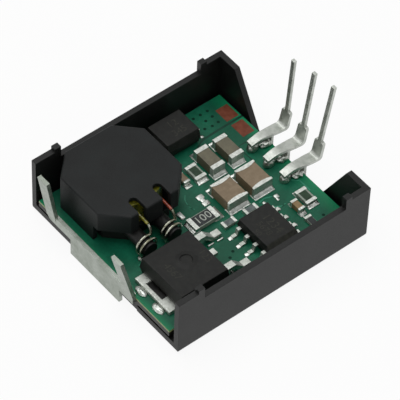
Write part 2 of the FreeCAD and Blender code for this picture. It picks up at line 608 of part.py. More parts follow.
def inductor_base():
    """The plate under the coil. Two round pegs stand out of it under the cap's front."""
    body = new_body("header")
    plan = sketch_on(body, "XY_Plane", "header_plan", BOARD_TOP)
    octagon(plan, BASE_INSET)
    pad(body, plan, "header_plate", "base_thickness")
    root = f"({INDUCTOR_FACE} + {BASE_INSET} + peg_root)"
    pegs = sketch_on(body, "XZ_Plane", "header_pegs", f"-{root}")
    for side in ("-", "+"):
        round_hole(pegs, f"{PEG_X} {side} peg_spacing/2", f"{BOARD_TOP} + {PEG_RISE}", "peg_radius")
    pad(body, pegs, "header_peg_pads", f"{root} - ({INDUCTOR_FACE} - peg_ahead)")
    return finish(body, "inductor_base")


def inductor_core():
    """The ferrite ring."""
    low = f"({BOARD_TOP} + base_thickness + winding_thickness)"
    high = f"({INDUCTOR_TOP} - inductor_wall - winding_gap - winding_thickness)"
    ring = cut("core", cylinder("core_disc", INDUCTOR_X, INDUCTOR_Y, (low, high), "core_outer_radius"),
               cylinder("core_hole", INDUCTOR_X, INDUCTOR_Y, (low, high), "core_inner_radius"))
    return finish(ring, "inductor_core")


def inductor_winding():
    """The winding, as a closed sleeve round the ring."""
    low = f"({BOARD_TOP} + base_thickness)"
    high = f"({INDUCTOR_TOP} - inductor_wall - winding_gap)"
    sleeve = cut("sleeve", cylinder("sleeve_disc", INDUCTOR_X, INDUCTOR_Y, (low, high),
                                    "core_outer_radius + winding_thickness"),
                 cylinder("sleeve_hole", INDUCTOR_X, INDUCTOR_Y, (low, high),
                          "core_inner_radius - winding_thickness"))
    core_low = f"({low} + winding_thickness)"
    core_high = f"({high} - winding_thickness)"
    void = cut("core_space", cylinder("space_disc", INDUCTOR_X, INDUCTOR_Y, (core_low, core_high),
                                      "core_outer_radius"),
               cylinder("space_hole", INDUCTOR_X, INDUCTOR_Y, (core_low, core_high), "core_inner_radius"))
    return finish(cut("winding", sleeve, void), "inductor_winding")


def winding_end(number, side):
    """A winding end: out of its slot, down past the cap's front and round its peg to the board."""
    board_top = mm["floor_thickness"] + mm["rest_height"] + mm["board_thickness"]
    face_y = there["inductor_face"] - there["housing_width"] / 2
    slot_x = there["inductor_middle"] - there["housing_length"] / 2 + side * mm["slot_spacing"] / 2
    peg_x = there["peg_middle"] - there["housing_length"] / 2 + side * mm["peg_spacing"] / 2
    peg_z = board_top + mm["peg_radius"] + mm["wire_diameter"] + 2 * mm["wire_clearance"]
    last_y = face_y - mm["peg_ahead"] + mm["turn_from_end"]
    first_y = last_y + mm["turns"] * mm["turn_pitch"]
    wire = mm["wire_diameter"] / 2
    ring = mm["peg_radius"] + mm["wire_clearance"] + wire
    corners = ring / math.cos(math.pi / TURN_SIDES)

    slot_z = board_top + mm["inductor_height"] - mm["inductor_wall"] - 3 * wire
    coil = mm["core_outer_radius"] + mm["winding_thickness"] + mm["wire_clearance"]
    coil_y = face_y + mm["inductor_width"] / 2 - math.sqrt(coil ** 2 - (mm["slot_spacing"] / 2 - wire) ** 2)
    route = [FreeCAD.Vector(slot_x, coil_y, slot_z),
             FreeCAD.Vector(slot_x + wire, face_y - wire, slot_z - 3 * wire),
             FreeCAD.Vector(peg_x + ring + 2 * wire, first_y + wire, peg_z + ring)]
    for step in range(int(mm["turns"] * TURN_SIDES) + 1):
        turned = 2 * math.pi * (step + 0.5) / TURN_SIDES
        route.append(FreeCAD.Vector(peg_x + corners * math.cos(turned),
                                    first_y - step * mm["turn_pitch"] / TURN_SIDES,
                                    peg_z - corners * math.sin(turned)))
    path = Part.Wire([Part.makeLine(start, stop) for start, stop in zip(route, route[1:])])
    section = Part.Wire(Part.Circle(route[0], route[1] - route[0], wire).toShape())
    item = doc.addObject("Part::Feature", f"end_{number}")
    item.Shape = path.makePipeShell([section], True, False, MITRED)
    return finish(item, f"winding_end_{number}")


def moulding(name, x, y, standoff, parting, height, length, width, taper):
    """A moulded package: two tapers that meet at the parting line."""
    low = f"({BOARD_TOP} + {standoff})"
    mid = f"({BOARD_TOP} + {parting})"
    high = f"({BOARD_TOP} + {height})"
    wide = (length, width)
    slim = (f"{length} - 2*{taper}", f"{width} - 2*{taper}")
    return fuse(name, [frustum(f"{name}_lower", x, y, (low, mid), slim, wide),
                       frustum(f"{name}_upper", x, y, (mid, high), wide, slim)])


def strip_body(name, lift, corners, width):
    """A bent sheet strip: its side view in XZ, given width both ways from y = lift."""
    body = new_body(name)
    side = sketch_on(body, "XZ_Plane", f"{name}_side", f"-({lift})")
    outline(side, corners)
    pad(body, side, f"{name}_pad", width, both_ways=True)
    return body


SWITCH_X = f"({OPEN_END} + switch_middle)"
SWITCH_Y = f"({FRONT} + switch_row)"


def power_switch():
    """A large power transistor: tab towards the open end, two long leads and a cut middle one."""
    edge = f"({SWITCH_X} - switch_length/2)"
    sheet_top = f"({BOARD_TOP} + tab_sheet)"
    outer = f"({edge} - tab_sheet_reach)"
    half = "tab_sheet_width/2"
    plate = new_body("switch_tab")
    plan = sketch_on(plate, "XY_Plane", "switch_tab_plan", BOARD_TOP)
    inner = f"({SWITCH_X} + switch_length/2 - tab_sheet_short)"
    outline(plan, [(outer, f"{SWITCH_Y} - {half}"), (inner, f"{SWITCH_Y} - {half}"),
                   (inner, f"{SWITCH_Y} + {half}"), (outer, f"{SWITCH_Y} + {half}"),
                   (outer, f"{SWITCH_Y} + tab_notch_width/2"),
                   (f"{outer} + tab_notch_depth", f"{SWITCH_Y} + tab_notch_width/2 - tab_notch_depth"),
                   (f"{outer} + tab_notch_depth", f"{SWITCH_Y} - tab_notch_width/2 + tab_notch_depth"),
                   (outer, f"{SWITCH_Y} - tab_notch_width/2")])
    pad(plate, plan, "switch_tab_pad", "tab_sheet")

    face = f"({SWITCH_X} + switch_length/2)"
    root = f"({face} - switch_taper - tab_sheet)"
    level = f"({BOARD_TOP} + switch_parting)"
    tip = f"({face} + switch_lead_reach)"
    heel = f"({tip} - switch_foot)"
    knee = f"({heel} - switch_parting)"
    step = "tab_sheet*(sqrt(2) - 1)"
    profile = [(root, level), (knee, level), (heel, BOARD_TOP), (tip, BOARD_TOP), (tip, sheet_top),
               (f"{heel} + {step}", sheet_top), (f"{knee} + {step}", f"{level} + tab_sheet"),
               (root, f"{level} + tab_sheet")]
    legs = [strip_body(f"switch_lead_{n}", f"{SWITCH_Y} {side} switch_lead_pitch", profile, "switch_lead_width")
            for n, side in ((1, "-"), (2, "+"))]
    stub_end = f"{face} + switch_stub"
    legs.append(box("switch_stub_lead", (root, stub_end),
                    (f"{SWITCH_Y} - switch_lead_width/2", f"{SWITCH_Y} + switch_lead_width/2"),
                    (level, f"{level} + tab_sheet")))
    leads = group("switch_leads", legs)
    shell = moulding("switch", SWITCH_X, SWITCH_Y, "switch_standoff", "switch_parting", "switch_height",
                     "switch_length", "switch_width", "switch_taper")
    shell = cut("switch_shell", cut("switch_over_tab", shell, plate), leads)
    finish(shell, "power_switch_body")
    finish(plate, "power_switch_tab")
    finish(leads, "power_switch_leads")


def rectifier():
    """A moulded diode with a terminal wrapped under each end."""
    x = f"({OPEN_END} + rectifier_middle)"
    y = f"({FRONT} + rectifier_row)"
    half = "rectifier_length/2"
    parting = "rectifier_height/2"
    straps = []
    for name, sign in (("left", "-"), ("right", "+")):
        outer = f"({x} {sign} ({half} + terminal_reach))"
        skin = f"({x} {sign} ({half} + terminal_reach - terminal_sheet))"
        root = f"({x} {sign} ({half} - rectifier_taper - terminal_sheet))"
        under = f"({x} {sign} ({half} - 4*terminal_sheet))"
        level = f"({BOARD_TOP} + {parting})"
        profile = [(root, f"{level} - terminal_sheet"), (skin, f"{level} - terminal_sheet"),
                   (skin, f"{BOARD_TOP} + terminal_sheet"), (under, f"{BOARD_TOP} + terminal_sheet"),
                   (under, BOARD_TOP), (outer, BOARD_TOP), (outer, level), (root, level)]
        straps.append(strip_body(f"rectifier_strap_{name}", y, profile, "terminal_width"))
    terminals = group("rectifier_straps", straps)
    shell = moulding("rectifier", x, y, "terminal_sheet", parting, "rectifier_height",
                     "rectifier_length", "rectifier_width", "rectifier_taper")
    finish(cut("rectifier_shell", shell, terminals), "rectifier_body")
    finish(terminals, "rectifier_terminals")


def controller():
    """An eight-lead controller chip with four gull-wing leads on each side."""
    x = f"({OPEN_END} + controller_middle)"
    y = f"({FRONT} + controller_row)"
    level = f"({BOARD_TOP} + (controller_standoff + controller_height)/2)"
    legs = []
    for name, sign in (("left", "-"), ("right", "+")):
        tip = f"({x} {sign} pin_row_span/2)"
        heel = f"({x} {sign} (pin_row_span/2 - gull_foot))"
        knee = f"({x} {sign} (controller_length/2 + gull_sheet))"
        root = f"({x} {sign} (controller_length/2 - controller_taper - gull_sheet))"
        profile = [(root, level), (f"{knee} {sign} gull_sheet", level), (f"{heel} {sign} gull_sheet/2",
                   f"{BOARD_TOP} + gull_sheet"), (tip, f"{BOARD_TOP} + gull_sheet"), (tip, BOARD_TOP),
                   (heel, BOARD_TOP), (knee, f"{level} - gull_sheet"),
                   (root, f"{level} - gull_sheet")]
        for number in range(int(mm["gull_count"])):
            lift = f"{y} + ({number} - (gull_count - 1)/2)*gull_pitch"
            legs.append(strip_body(f"controller_lead_{name}_{number + 1}", lift, profile, "gull_width"))
    leads = group("controller_legs", legs)
    shell = moulding("controller", x, y, "controller_standoff", "(controller_standoff + controller_height)/2",
                     "controller_height", "controller_length", "controller_width", "controller_taper")
    finish(cut("controller_shell", shell, leads), "controller_body")
    finish(leads, "controller_leads")


def chip(node, x, y, kind, band, along_x=False):
    """A chip part: a plain body whose two ends are wrapped in thin metal."""
    length, width, height = f"{kind}_length", f"{kind}_width", f"{kind}_height"
    low, high = f"({BOARD_TOP} + end_metal)", f"({BOARD_TOP} + {height} - end_metal)"
    ends = []
    for name, sign in (("near", "-"), ("far", "+")):
        middle, across_middle = (x, y) if along_x else (y, x)
        if sign == "-":
            along = (f"{middle} - {length}/2", f"{middle} - {length}/2 + {band}")
        else:
            along = (f"{middle} + {length}/2 - {band}", f"{middle} + {length}/2")
        across = (f"{across_middle} - {width}/2", f"{across_middle} + {width}/2")
        spans = (along, across) if along_x else (across, along)
        ends.append(box(f"{node}_end_{name}", *spans, (BOARD_TOP, f"{BOARD_TOP} + {height}")))
    half_l, half_w = f"({length}/2 - end_metal)", f"({width}/2 - end_metal)"
    half_x, half_y = (half_l, half_w) if along_x else (half_w, half_l)
    core = box(f"{node}_core", (f"{x} - {half_x}", f"{x} + {half_x}"), (f"{y} - {half_y}", f"{y} + {half_y}"),
               (low, high))
    return core, cut(f"{node}_caps", group(f"{node}_end_blocks", ends), core)


def chips():
    """The capacitors, the sense resistor and the small chips."""
    def place(from_end, from_front):
        return f"({OPEN_END} + {from_end})", f"({FRONT} + {from_front})"

    rows = [("capacitor_1", "narrow_cap_1", "narrow_cap_row", "narrow_cap", "cap_band"),
            ("capacitor_2", "narrow_cap_2", "narrow_cap_row", "narrow_cap", "cap_band"),
            ("capacitor_3", "wide_cap_1", "wide_cap_row", "wide_cap", "cap_band"),
            ("capacitor_4", "wide_cap_2", "wide_cap_row", "wide_cap", "cap_band"),
            ("sense_resistor", "sense_middle", "sense_row", "sense", "sense_band"),
            ("window_chip_1", "window_1_middle", "window_1_row", "window", "window_band"),
            ("window_chip_2", "window_2_middle", "window_2_row", "window", "window_band"),
            ("small_capacitor", "small_cap_middle", "small_cap_row", "small_cap", "small_band")]
    for node, from_end, from_front, kind, band in rows:
        core, caps = chip(node, *place(from_end, from_front), kind, band, along_x=kind == "sense")
        finish(core, f"{node}_body")
        finish(caps, f"{node}_ends")

    small = [chip(f"small_{number}", *place(f"small_{number}_middle", row), "small_chip", "small_band", along_x)
             for number, row, along_x in ((1, "small_row", True), (2, "small_row", True), (3, "small_3_row", False))]
    finish(group("small_cores", [core for core, caps in small]), "small_resistor_bodies")
    finish(group("small_caps", [caps for core, caps in small]), "small_resistor_ends")


LEAD_MIDDLES = [(1, "(lead_pitch)"), (2, "(0)"), (3, "(-lead_pitch)")]


def solder():
    """Solder over each lead's upper finger and along the tab of the power switch."""
    blobs = []
    for number, middle in LEAD_MIDDLES:
        high = f"{BOARD_TOP} + clip_finger + solder_rise"
        low_size = ("clip_grip + solder_spread", "clip_width + 2*solder_spread")
        blob = frustum(f"lead_solder_{number}", f"{BOARD_END} - (clip_grip + solder_spread)/2", middle,
                       (BOARD_TOP, high), low_size, ("clip_grip/2", "clip_width/2"))
        blobs.append(blob)
    outer = f"({SWITCH_X} - switch_length/2 - tab_sheet_reach)"
    run = "(tab_sheet_width/2 - tab_notch_width/2)"
    for name, side in (("front", "-"), ("back", "+")):
        y = f"({SWITCH_Y} {side} (tab_sheet_width/2 + tab_notch_width/2)/2)"
        blobs.append(frustum(f"tab_solder_{name}", f"{outer} - tab_solder_reach/2", y,
                             (BOARD_TOP, f"{BOARD_TOP} + tab_solder_rise"), ("tab_solder_reach", run),
                             ("tab_solder_reach/3", f"{run} - tab_solder_reach")))
    return group("solder_blobs", blobs)


housing()
circuit_board()
mounting_bracket()
leads = [lead(number, middle) for number, middle in LEAD_MIDDLES]
doc.recompute()
finish(cut("joints", solder(), group("lead_group", leads)), "solder_joints")
inductor_case()
inductor_base()
inductor_core()
inductor_winding()
winding_end(1, -1)
winding_end(2, 1)
power_switch()
rectifier()
controller()
chips()
doc.recompute()

for item in doc.Objects:
    if "Invalid" in item.State or "Error" in item.State:
        raise RuntimeError(f"{item.Name} failed: {item.State}")
for item in finished:
    if item.Shape.isNull() or not item.Shape.isValid():
        raise RuntimeError(f"{item.Label} has no valid shape")

os.makedirs("parts", exist_ok=True)
for item in finished:
    item.Shape.exportStep(f"parts/{item.Label}.step")
    print(item.Label, len(item.Shape.Solids), "solids", round(item.Shape.Volume, 3), "mm3")
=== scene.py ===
# %% [markdown]
# # A step-down converter module
#
# The real object is a small power module: a green circuit board, crowded with parts, lying in an
# open black tray. Its solids come from the CAD model and stay where they are. This lesson gives
# them finishes, eases their edges, and adds what is too fine for the solids: solder, lands on
# the board, plated holes, tracks, marks and the round turns of wire.

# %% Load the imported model
import bmesh
import bpy
import math
from mathutils import Matrix, Vector, noise


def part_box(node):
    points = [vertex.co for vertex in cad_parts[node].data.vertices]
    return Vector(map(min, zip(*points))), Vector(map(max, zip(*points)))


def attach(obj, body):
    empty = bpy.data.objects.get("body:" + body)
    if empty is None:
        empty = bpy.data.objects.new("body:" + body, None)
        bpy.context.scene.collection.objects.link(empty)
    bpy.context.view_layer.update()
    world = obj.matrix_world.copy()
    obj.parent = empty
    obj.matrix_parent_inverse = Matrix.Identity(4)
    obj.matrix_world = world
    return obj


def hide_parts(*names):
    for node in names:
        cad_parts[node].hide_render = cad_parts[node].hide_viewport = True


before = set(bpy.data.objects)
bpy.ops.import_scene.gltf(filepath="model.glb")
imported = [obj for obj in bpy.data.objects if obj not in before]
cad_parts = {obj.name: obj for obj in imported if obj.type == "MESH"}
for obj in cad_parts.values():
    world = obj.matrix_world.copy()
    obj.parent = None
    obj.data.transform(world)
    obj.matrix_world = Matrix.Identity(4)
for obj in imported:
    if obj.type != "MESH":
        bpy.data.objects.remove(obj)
scene = bpy.context.scene
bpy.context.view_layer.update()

# %% [markdown]
# Everything is in metres, in the CAD model's own frame: +X towards the three leads, +Y towards
# the back wall and +Z up. Places on the board are easier to read in millimetres from the open
# end and from the front wall, so one small function turns them into the frame.

# %% Units and places
MM = 0.001
TRAY_LOW = Vector(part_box("housing")[0])
BOARD_LOW, BOARD_HIGH = [Vector(corner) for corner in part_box("circuit_board")]
BOARD_TOP = BOARD_HIGH.z


def at(from_end, from_front, above_board=0.0):
    """A point given in millimetres from the open end, from the front wall and above the board."""
    return Vector((TRAY_LOW.x + from_end * MM, TRAY_LOW.y + from_front * MM, BOARD_TOP + above_board * MM))


BOARD_END_MM = (BOARD_HIGH.x - TRAY_LOW.x) / MM
print("board top at", round(BOARD_TOP / MM, 2), "mm")
print("its lead edge is", round(BOARD_END_MM, 2), "mm from the open end")

# %% [markdown]
# ## Camera, light and floor
#
# The photograph was taken with a long lens from the front left, looking down about 50 degrees.
# Its place and turn were worked out from the tray's straight edges, so they are written as they
# were found.

# %% Camera
CAMERA_PLACE_MM = (-133.483, -154.892, 247.344)
CAMERA_TURN_DEGREES = (39.956, -1.473, -38.999)
LENS_MM = 291.67
SENSOR_MM = 36.0

camera_data = bpy.data.cameras.new("camera")
camera_data.lens = LENS_MM
camera_data.sensor_width = SENSOR_MM
camera_data.clip_start = 0.01
camera = bpy.data.objects.new("camera", camera_data)
camera.location = Vector(CAMERA_PLACE_MM) * MM
camera.rotation_euler = [math.radians(a) for a in CAMERA_TURN_DEGREES]
scene.collection.objects.link(camera)
scene.camera = camera
print("camera looks down", round(90 - CAMERA_TURN_DEGREES[0], 1), "degrees")

# %% [markdown]
# Materials are node trees. One small function turns a written colour into the linear values that
# shaders use, one adds a node with its settings and links, and one builds the kind of finish that
# most surfaces here share: two close colours in soft patches, with a fine relief.
#
# A socket is given by its name, or by its number where a node has several of one name. A Map
# Range reads a value at 0, between the band 1 to 2, and gives 3 to 4. A Mix of colours has its
# share at 0 and its two colours at 6 and 7.

# %% Material helpers
PATCH_BAND = (0.35, 0.65)
GRAIN_BAND = (0.3, 0.7)


def linear(written):
    """An sRGB hex colour as linear red, green, blue and alpha."""
    parts = [int(written[i:i + 2], 16) / 255 for i in (1, 3, 5)]
    return [p / 12.92 if p <= 0.04045 else ((p + 0.055) / 1.055) ** 2.4 for p in parts] + [1.0]


def add(tree, kind, sockets=None, **settings):
    """A shader node with its settings, each socket given a value or a link."""
    made = tree.nodes.new("ShaderNode" + kind)
    for name, value in settings.items():
        setattr(made, name, value)
    for key, value in (sockets or {}).items():
        if isinstance(value, bpy.types.NodeSocket):
            tree.links.new(value, made.inputs[key])
        else:
            made.inputs[key].default_value = value
    return made


def finish(name, dark, light, patch_mm, grain_mm, relief_mm, roughness, spread=0.06, **sockets):
    """A finish in two close colours, with soft patches and a fine relief."""
    made = bpy.data.materials.new(name)
    made.use_nodes = True
    tree = made.node_tree
    shader = tree.nodes["Principled BSDF"]
    place = add(tree, "TexCoord").outputs["Object"]
    patches = add(tree, "TexNoise", {"Vector": place, "Scale": 1 / (patch_mm * MM), "Detail": 2.0})
    grain = add(tree, "TexNoise", {"Vector": place, "Scale": 1 / (grain_mm * MM), "Detail": 3.0})
    share = add(tree, "MapRange", {0: patches.outputs["Fac"], 1: PATCH_BAND[0], 2: PATCH_BAND[1]},
                clamp=True)
    tint = add(tree, "Mix", {0: share.outputs[0], 6: linear(dark), 7: linear(light)}, data_type="RGBA")
    bump = add(tree, "Bump", {"Height": grain.outputs["Fac"], "Distance": relief_mm * MM, "Strength": 1.0})
    rough = add(tree, "MapRange", {0: grain.outputs["Fac"], 1: GRAIN_BAND[0], 2: GRAIN_BAND[1],
                                   3: roughness - spread, 4: roughness + spread}, clamp=True)
    tree.links.new(tint.outputs[2], shader.inputs["Base Color"])
    tree.links.new(bump.outputs[0], shader.inputs["Normal"])
    tree.links.new(rough.outputs[0], shader.inputs["Roughness"])
    for key, value in sockets.items():
        shader.inputs[key.replace("_", " ")].default_value = value
    return made


print("a mid grey of #808080 is", round(linear("#808080")[0], 3), "in linear light")

# %% [markdown]
# The floor is plain and pale. To the camera, and to what mirrors it, it is almost white by
# itself, and the rest of its brightness comes from the light, so that a soft shadow stays. The
# world behind it is white to the same rays, down to a grey ceiling, and grey to the others.

# %% Floor and world
SHADOW_SHARE = 0.09
SKY_GREY = 0.34
CEILING_GREY = 0.5
CEILING_BAND = (0.2, 0.7)
made_trees = []
for owner in (bpy.data.materials.new("pale_floor"), bpy.data.worlds.new("studio")):
    owner.use_nodes = True
    tree = owner.node_tree
    rays = add(tree, "LightPath").outputs
    some = add(tree, "Math", {0: rays["Is Camera Ray"], 1: rays["Is Glossy Ray"]}, operation="MAXIMUM")
    seen = add(tree, "Math", {0: some.outputs[0], 1: rays["Is Transmission Ray"]}, operation="MAXIMUM")
    made_trees.append((owner, tree, seen.outputs[0]))

floor_finish, floor_tree, floor_seen = made_trees[0]
floor_tree.nodes.remove(floor_tree.nodes["Principled BSDF"])
lit = add(floor_tree, "BsdfDiffuse", {"Color": linear("#f6f6f5")})
bright = add(floor_tree, "Emission", {"Color": (1, 1, 1, 1), "Strength": 1.0})
share = add(floor_tree, "Math", {0: floor_seen, 1: 1 - SHADOW_SHARE}, operation="MULTIPLY")
blend = add(floor_tree, "MixShader", {0: share.outputs[0], 1: lit.outputs[0], 2: bright.outputs[0]})
floor_tree.links.new(blend.outputs[0], floor_tree.nodes["Material Output"].inputs["Surface"])

world, sky, sky_seen = made_trees[1]
scene.world = world
way = add(sky, "SeparateXYZ", {0: add(sky, "TexCoord").outputs["Generated"]}).outputs[2]
high = add(sky, "MapRange", {0: way, 1: CEILING_BAND[0], 2: CEILING_BAND[1], 3: 1.0, 4: CEILING_GREY},
           clamp=True).outputs[0]
room = add(sky, "CombineXYZ", {0: high, 1: high, 2: high}).outputs[0]
back = add(sky, "Mix", {0: sky_seen, 6: [SKY_GREY] * 3 + [1.0], 7: room}, data_type="RGBA")
sky.links.new(back.outputs[2], sky.nodes["Background"].inputs["Color"])
scene.view_settings.view_transform = "Standard"
print("share of the floor's brightness that a shadow can take", SHADOW_SHARE)

# %% Floor sheet
FLOOR_REACH_MM = 1200.0
FLOOR_GAP_MM = 0.02

floor_mesh = bpy.data.meshes.new("floor")
build = bmesh.new()
bmesh.ops.create_grid(build, x_segments=1, y_segments=1, size=FLOOR_REACH_MM * MM / 2)
bmesh.ops.translate(build, verts=build.verts, vec=(0, 0, TRAY_LOW.z - FLOOR_GAP_MM * MM))
build.to_mesh(floor_mesh)
build.free()
floor = bpy.data.objects.new("floor", floor_mesh)
floor_mesh.materials.append(floor_finish)
scene.collection.objects.link(floor)
print("floor at", round(TRAY_LOW.z / MM, 2), "mm")

# %% [markdown]
# The light comes mostly from above and a little from behind, as the dark front faces inside the
# tray show. A weak soft box in front keeps them from going quite black.

# %% Lamps
LAMPS = [("overhead", (-20, 80, 440), 440, 1.22), ("front_fill", (-330, -330, 260), 260, 0.2)]
for name, place_mm, size_mm, watts in LAMPS:
    data = bpy.data.lights.new(name, "AREA")
    data.energy = watts
    data.size = size_mm * MM
    box = bpy.data.objects.new(name, data)
    box.location = Vector(place_mm) * MM
    box.rotation_euler = box.location.to_track_quat("Z", "Y").to_euler()
    scene.collection.objects.link(box)
print("lamps", [lamp[0] for lamp in LAMPS])

# %% [markdown]
# ## Finishes
#
# **Plastics.** The tray and the inductor's cap are black glass-filled polyester with a fine satin
# texture, and the chip packages are black epoxy moulding compound, a little browner and rougher.
# The stuff itself is nearly black. The grey that the eye sees is the white room in its sheen.

# %% Black moulded plastics
tray_black = finish("moulded_black_polyester", "#0c0d0c", "#131413", 3.0, 0.09, 0.004, 0.46, IOR=1.38)
cap_black = finish("moulded_black_cap", "#0a0d0d", "#101414", 2.2, 0.12, 0.007, 0.56, IOR=1.34)
# The header's black also makes the painted shade in the power transistor's tab slot.
header_black_and_slot_shade = finish("moulded_black_header_and_slot_shade", "#080807", "#0e0e0c", 1.0, 0.1, 0.005, 0.5, IOR=1.42)
package_black = finish("black_moulding_compound", "#10110f", "#191a17", 0.5, 0.07, 0.009, 0.54, IOR=1.34)
# This finish makes the digit marks, and is also a painted highlight on the controller's bevel.
etched_marks_and_bevel_highlight = finish("laser_etched_compound_and_painted_highlight", "#272823", "#34352f", 0.3, 0.07, 0.006, 0.7, IOR=1.34)
print("blacks", len([m for m in bpy.data.materials if "black" in m.name]))

# %% [markdown]
# **Metals.** The leads, the bracket and the terminals are copper alloy and steel with a matt tin
# plating: grey, a little uneven, with blurred reflections. Solder is brighter and lumpier. Each
# reflects the dark tray, the green board and the white room, and that gives it its light and dark
# sides. Metals keep the default index of refraction.

# %% Tinned metals and solder
tinned = finish("tin_plated_copper_alloy", "#b2b6af", "#c8cbc5", 0.7, 0.16, 0.014, 0.5, 0.1, Metallic=1.0)
bracket_tin = finish("tin_plated_steel", "#92998f", "#a4aaa2", 1.6, 0.3, 0.008, 0.42, 0.1, Metallic=1.0)
solder_bright = finish("lead_free_solder", "#a4a8a0", "#ccd0ca", 0.4, 0.22, 0.02, 0.36, 0.1, Metallic=1.0)
solder_matt = finish("printed_solder_land", "#bcc0ba", "#d6d9d4", 0.35, 0.15, 0.02, 0.36, 0.1, Metallic=1.0)
chip_ends = finish("tinned_chip_ends", "#bec2bb", "#d6d9d3", 0.35, 0.2, 0.024, 0.4, 0.1, Metallic=0.9)
wire_tin = finish("tinned_wire", "#83836f", "#b4b5a8", 0.5, 0.2, 0.012, 0.24, 0.08, Metallic=1.0)
print("metals", len([m for m in bpy.data.materials if "tin" in m.name or "solder" in m.name]))

# %% [markdown]
# **Ceramics and glazes.** The large capacitors are fired ceramic, tan and grey-brown, matt with a
# faint speckle. The resistors are white alumina with a dark glaze over the resistive film, and the
# window chips carry a green one. Wire enamel is a clear glossy varnish, yellow-green or red.

# %% Ceramics, glazes and enamel
ceramic_tan = finish("fired_ceramic_tan", "#78674f", "#84735b", 0.6, 0.09, 0.004, 0.5)
ceramic_brown = finish("fired_ceramic_grey_brown", "#5b5746", "#67634f", 0.6, 0.09, 0.004, 0.5)
ceramic_orange = finish("fired_ceramic_orange_brown", "#7c6440", "#8c744c", 0.5, 0.09, 0.004, 0.5)
glaze_black = finish("black_resistor_glaze", "#1d2122", "#272d2f", 0.5, 0.1, 0.003, 0.38, IOR=1.4)
glaze_blue = finish("blue_grey_resistor_glaze", "#4c5656", "#66716f", 0.4, 0.1, 0.003, 0.32)
glaze_green = finish("dark_green_glaze", "#1d3420", "#27412a", 0.4, 0.1, 0.003, 0.4, IOR=1.38)
alumina = finish("white_alumina", "#7c877a", "#98a195", 0.3, 0.08, 0.003, 0.45)
digit_white = finish("printed_white_ink", "#a2a79e", "#b4b8af", 0.3, 0.08, 0.002, 0.6)
enamel_green = finish("yellow_green_wire_enamel", "#46450f", "#8a861e", 0.45, 0.1, 0.003, 0.28,
                      Coat_Weight=0.3)
enamel_red = finish("red_wire_enamel", "#6a2410", "#963a1c", 0.4, 0.1, 0.003, 0.28, Coat_Weight=0.3)
ferrite = finish("sintered_ferrite", "#26241f", "#33312c", 0.5, 0.1, 0.01, 0.6)
bare_land = finish("oxidised_copper_land", "#66311c", "#773f2b", 0.5, 0.09, 0.006, 0.5, IOR=1.35)
print("materials so far", len(bpy.data.materials))

# %% [markdown]
# ** Circuit board.** Glass fibre board under a green solder mask: glossy on top, and pale where the
# board is cut. Its weave shows faintly. Near the lead edge and the open end the green is painted
# brighter, as light shining through the bare board. The cut edge is told apart by the side that a
# face points to, on the object itself. Only its upper part is pale: the lower is painted dark, as shade.

# %% Solder mask
MASK_DARK = "#0c553e"
MASK_LIGHT = "#12674c"
MASK_OVER_CLOTH = "#0a4531"
# Painted light: the brighter green near the board's edges stands for light shining through the bare board.
MASK_PAINTED_GLOW = "#0f8456"
MASK_PATCH_MM = 3.2
MASK_PATCH_BAND = (0.4, 0.6)
CLOTH_MM = 0.3
CLOTH_SHARE = 0.3
BRIGHT_EDGE_MM = 1.6
BRIGHT_EDGE_SHARE = 0.8

mask_green = finish("green_solder_mask", MASK_DARK, MASK_LIGHT, MASK_PATCH_MM, 0.25, 0.004, 0.36, IOR=1.33)
mask_tree = mask_green.node_tree
coord = add(mask_tree, "TexCoord").outputs
spot = add(mask_tree, "SeparateXYZ", {0: coord["Object"]}).outputs
facing = add(mask_tree, "SeparateXYZ", {0: coord["Normal"]}).outputs
cloth, cloud = [add(mask_tree, "TexNoise", {"Vector": coord["Object"], "Scale": 1 / (wide * MM),
                                            "Detail": 1.0}) for wide in (CLOTH_MM, MASK_PATCH_MM)]
weave = add(mask_tree, "MapRange", {0: cloth.outputs["Fac"], 1: PATCH_BAND[0], 2: PATCH_BAND[1],
                                    4: CLOTH_SHARE}, clamp=True)
patches = add(mask_tree, "MapRange", {0: cloud.outputs["Fac"], 1: MASK_PATCH_BAND[0], 2: MASK_PATCH_BAND[1]},
              clamp=True)
base = add(mask_tree, "Mix", {0: patches.outputs[0], 6: linear(MASK_DARK), 7: linear(MASK_LIGHT)},
           data_type="RGBA")
woven = add(mask_tree, "Mix", {0: weave.outputs[0], 6: base.outputs[2], 7: linear(MASK_OVER_CLOTH)},
            data_type="RGBA")
# Painted light: the green turns brighter towards the lead edge and the open end, as light shining through.
lead_edge = add(mask_tree, "MapRange", {0: spot[0], 1: BOARD_HIGH.x - BRIGHT_EDGE_MM * MM, 2: BOARD_HIGH.x,
                                        4: BRIGHT_EDGE_SHARE}, clamp=True)
open_edge = add(mask_tree, "MapRange", {0: spot[0], 1: BOARD_LOW.x + BRIGHT_EDGE_MM * MM / 2, 2: BOARD_LOW.x,
                                        4: BRIGHT_EDGE_SHARE}, clamp=True)
painted_glow_share = add(mask_tree, "Math", {0: lead_edge.outputs[0], 1: open_edge.outputs[0]}, operation="MAXIMUM")
mask = add(mask_tree, "Mix", {0: painted_glow_share.outputs[0], 6: woven.outputs[2], 7: linear(MASK_PAINTED_GLOW)},
           data_type="RGBA")
print("mask nodes in its tree", len(mask_tree.nodes))

# %% Cut edge and the other greens
BOARD_CORE = "#8f9a68"
# Painted shade: the lower part of the cut edge is coloured this dark, as shade.
CORE_PAINTED_SHADE = "#191a14"
UNSHADED_EDGE_MM = 0.24
EDGE_SHADE_BLUR_MM = 0.04
UPWARD_BAND = (0.4, 0.6)
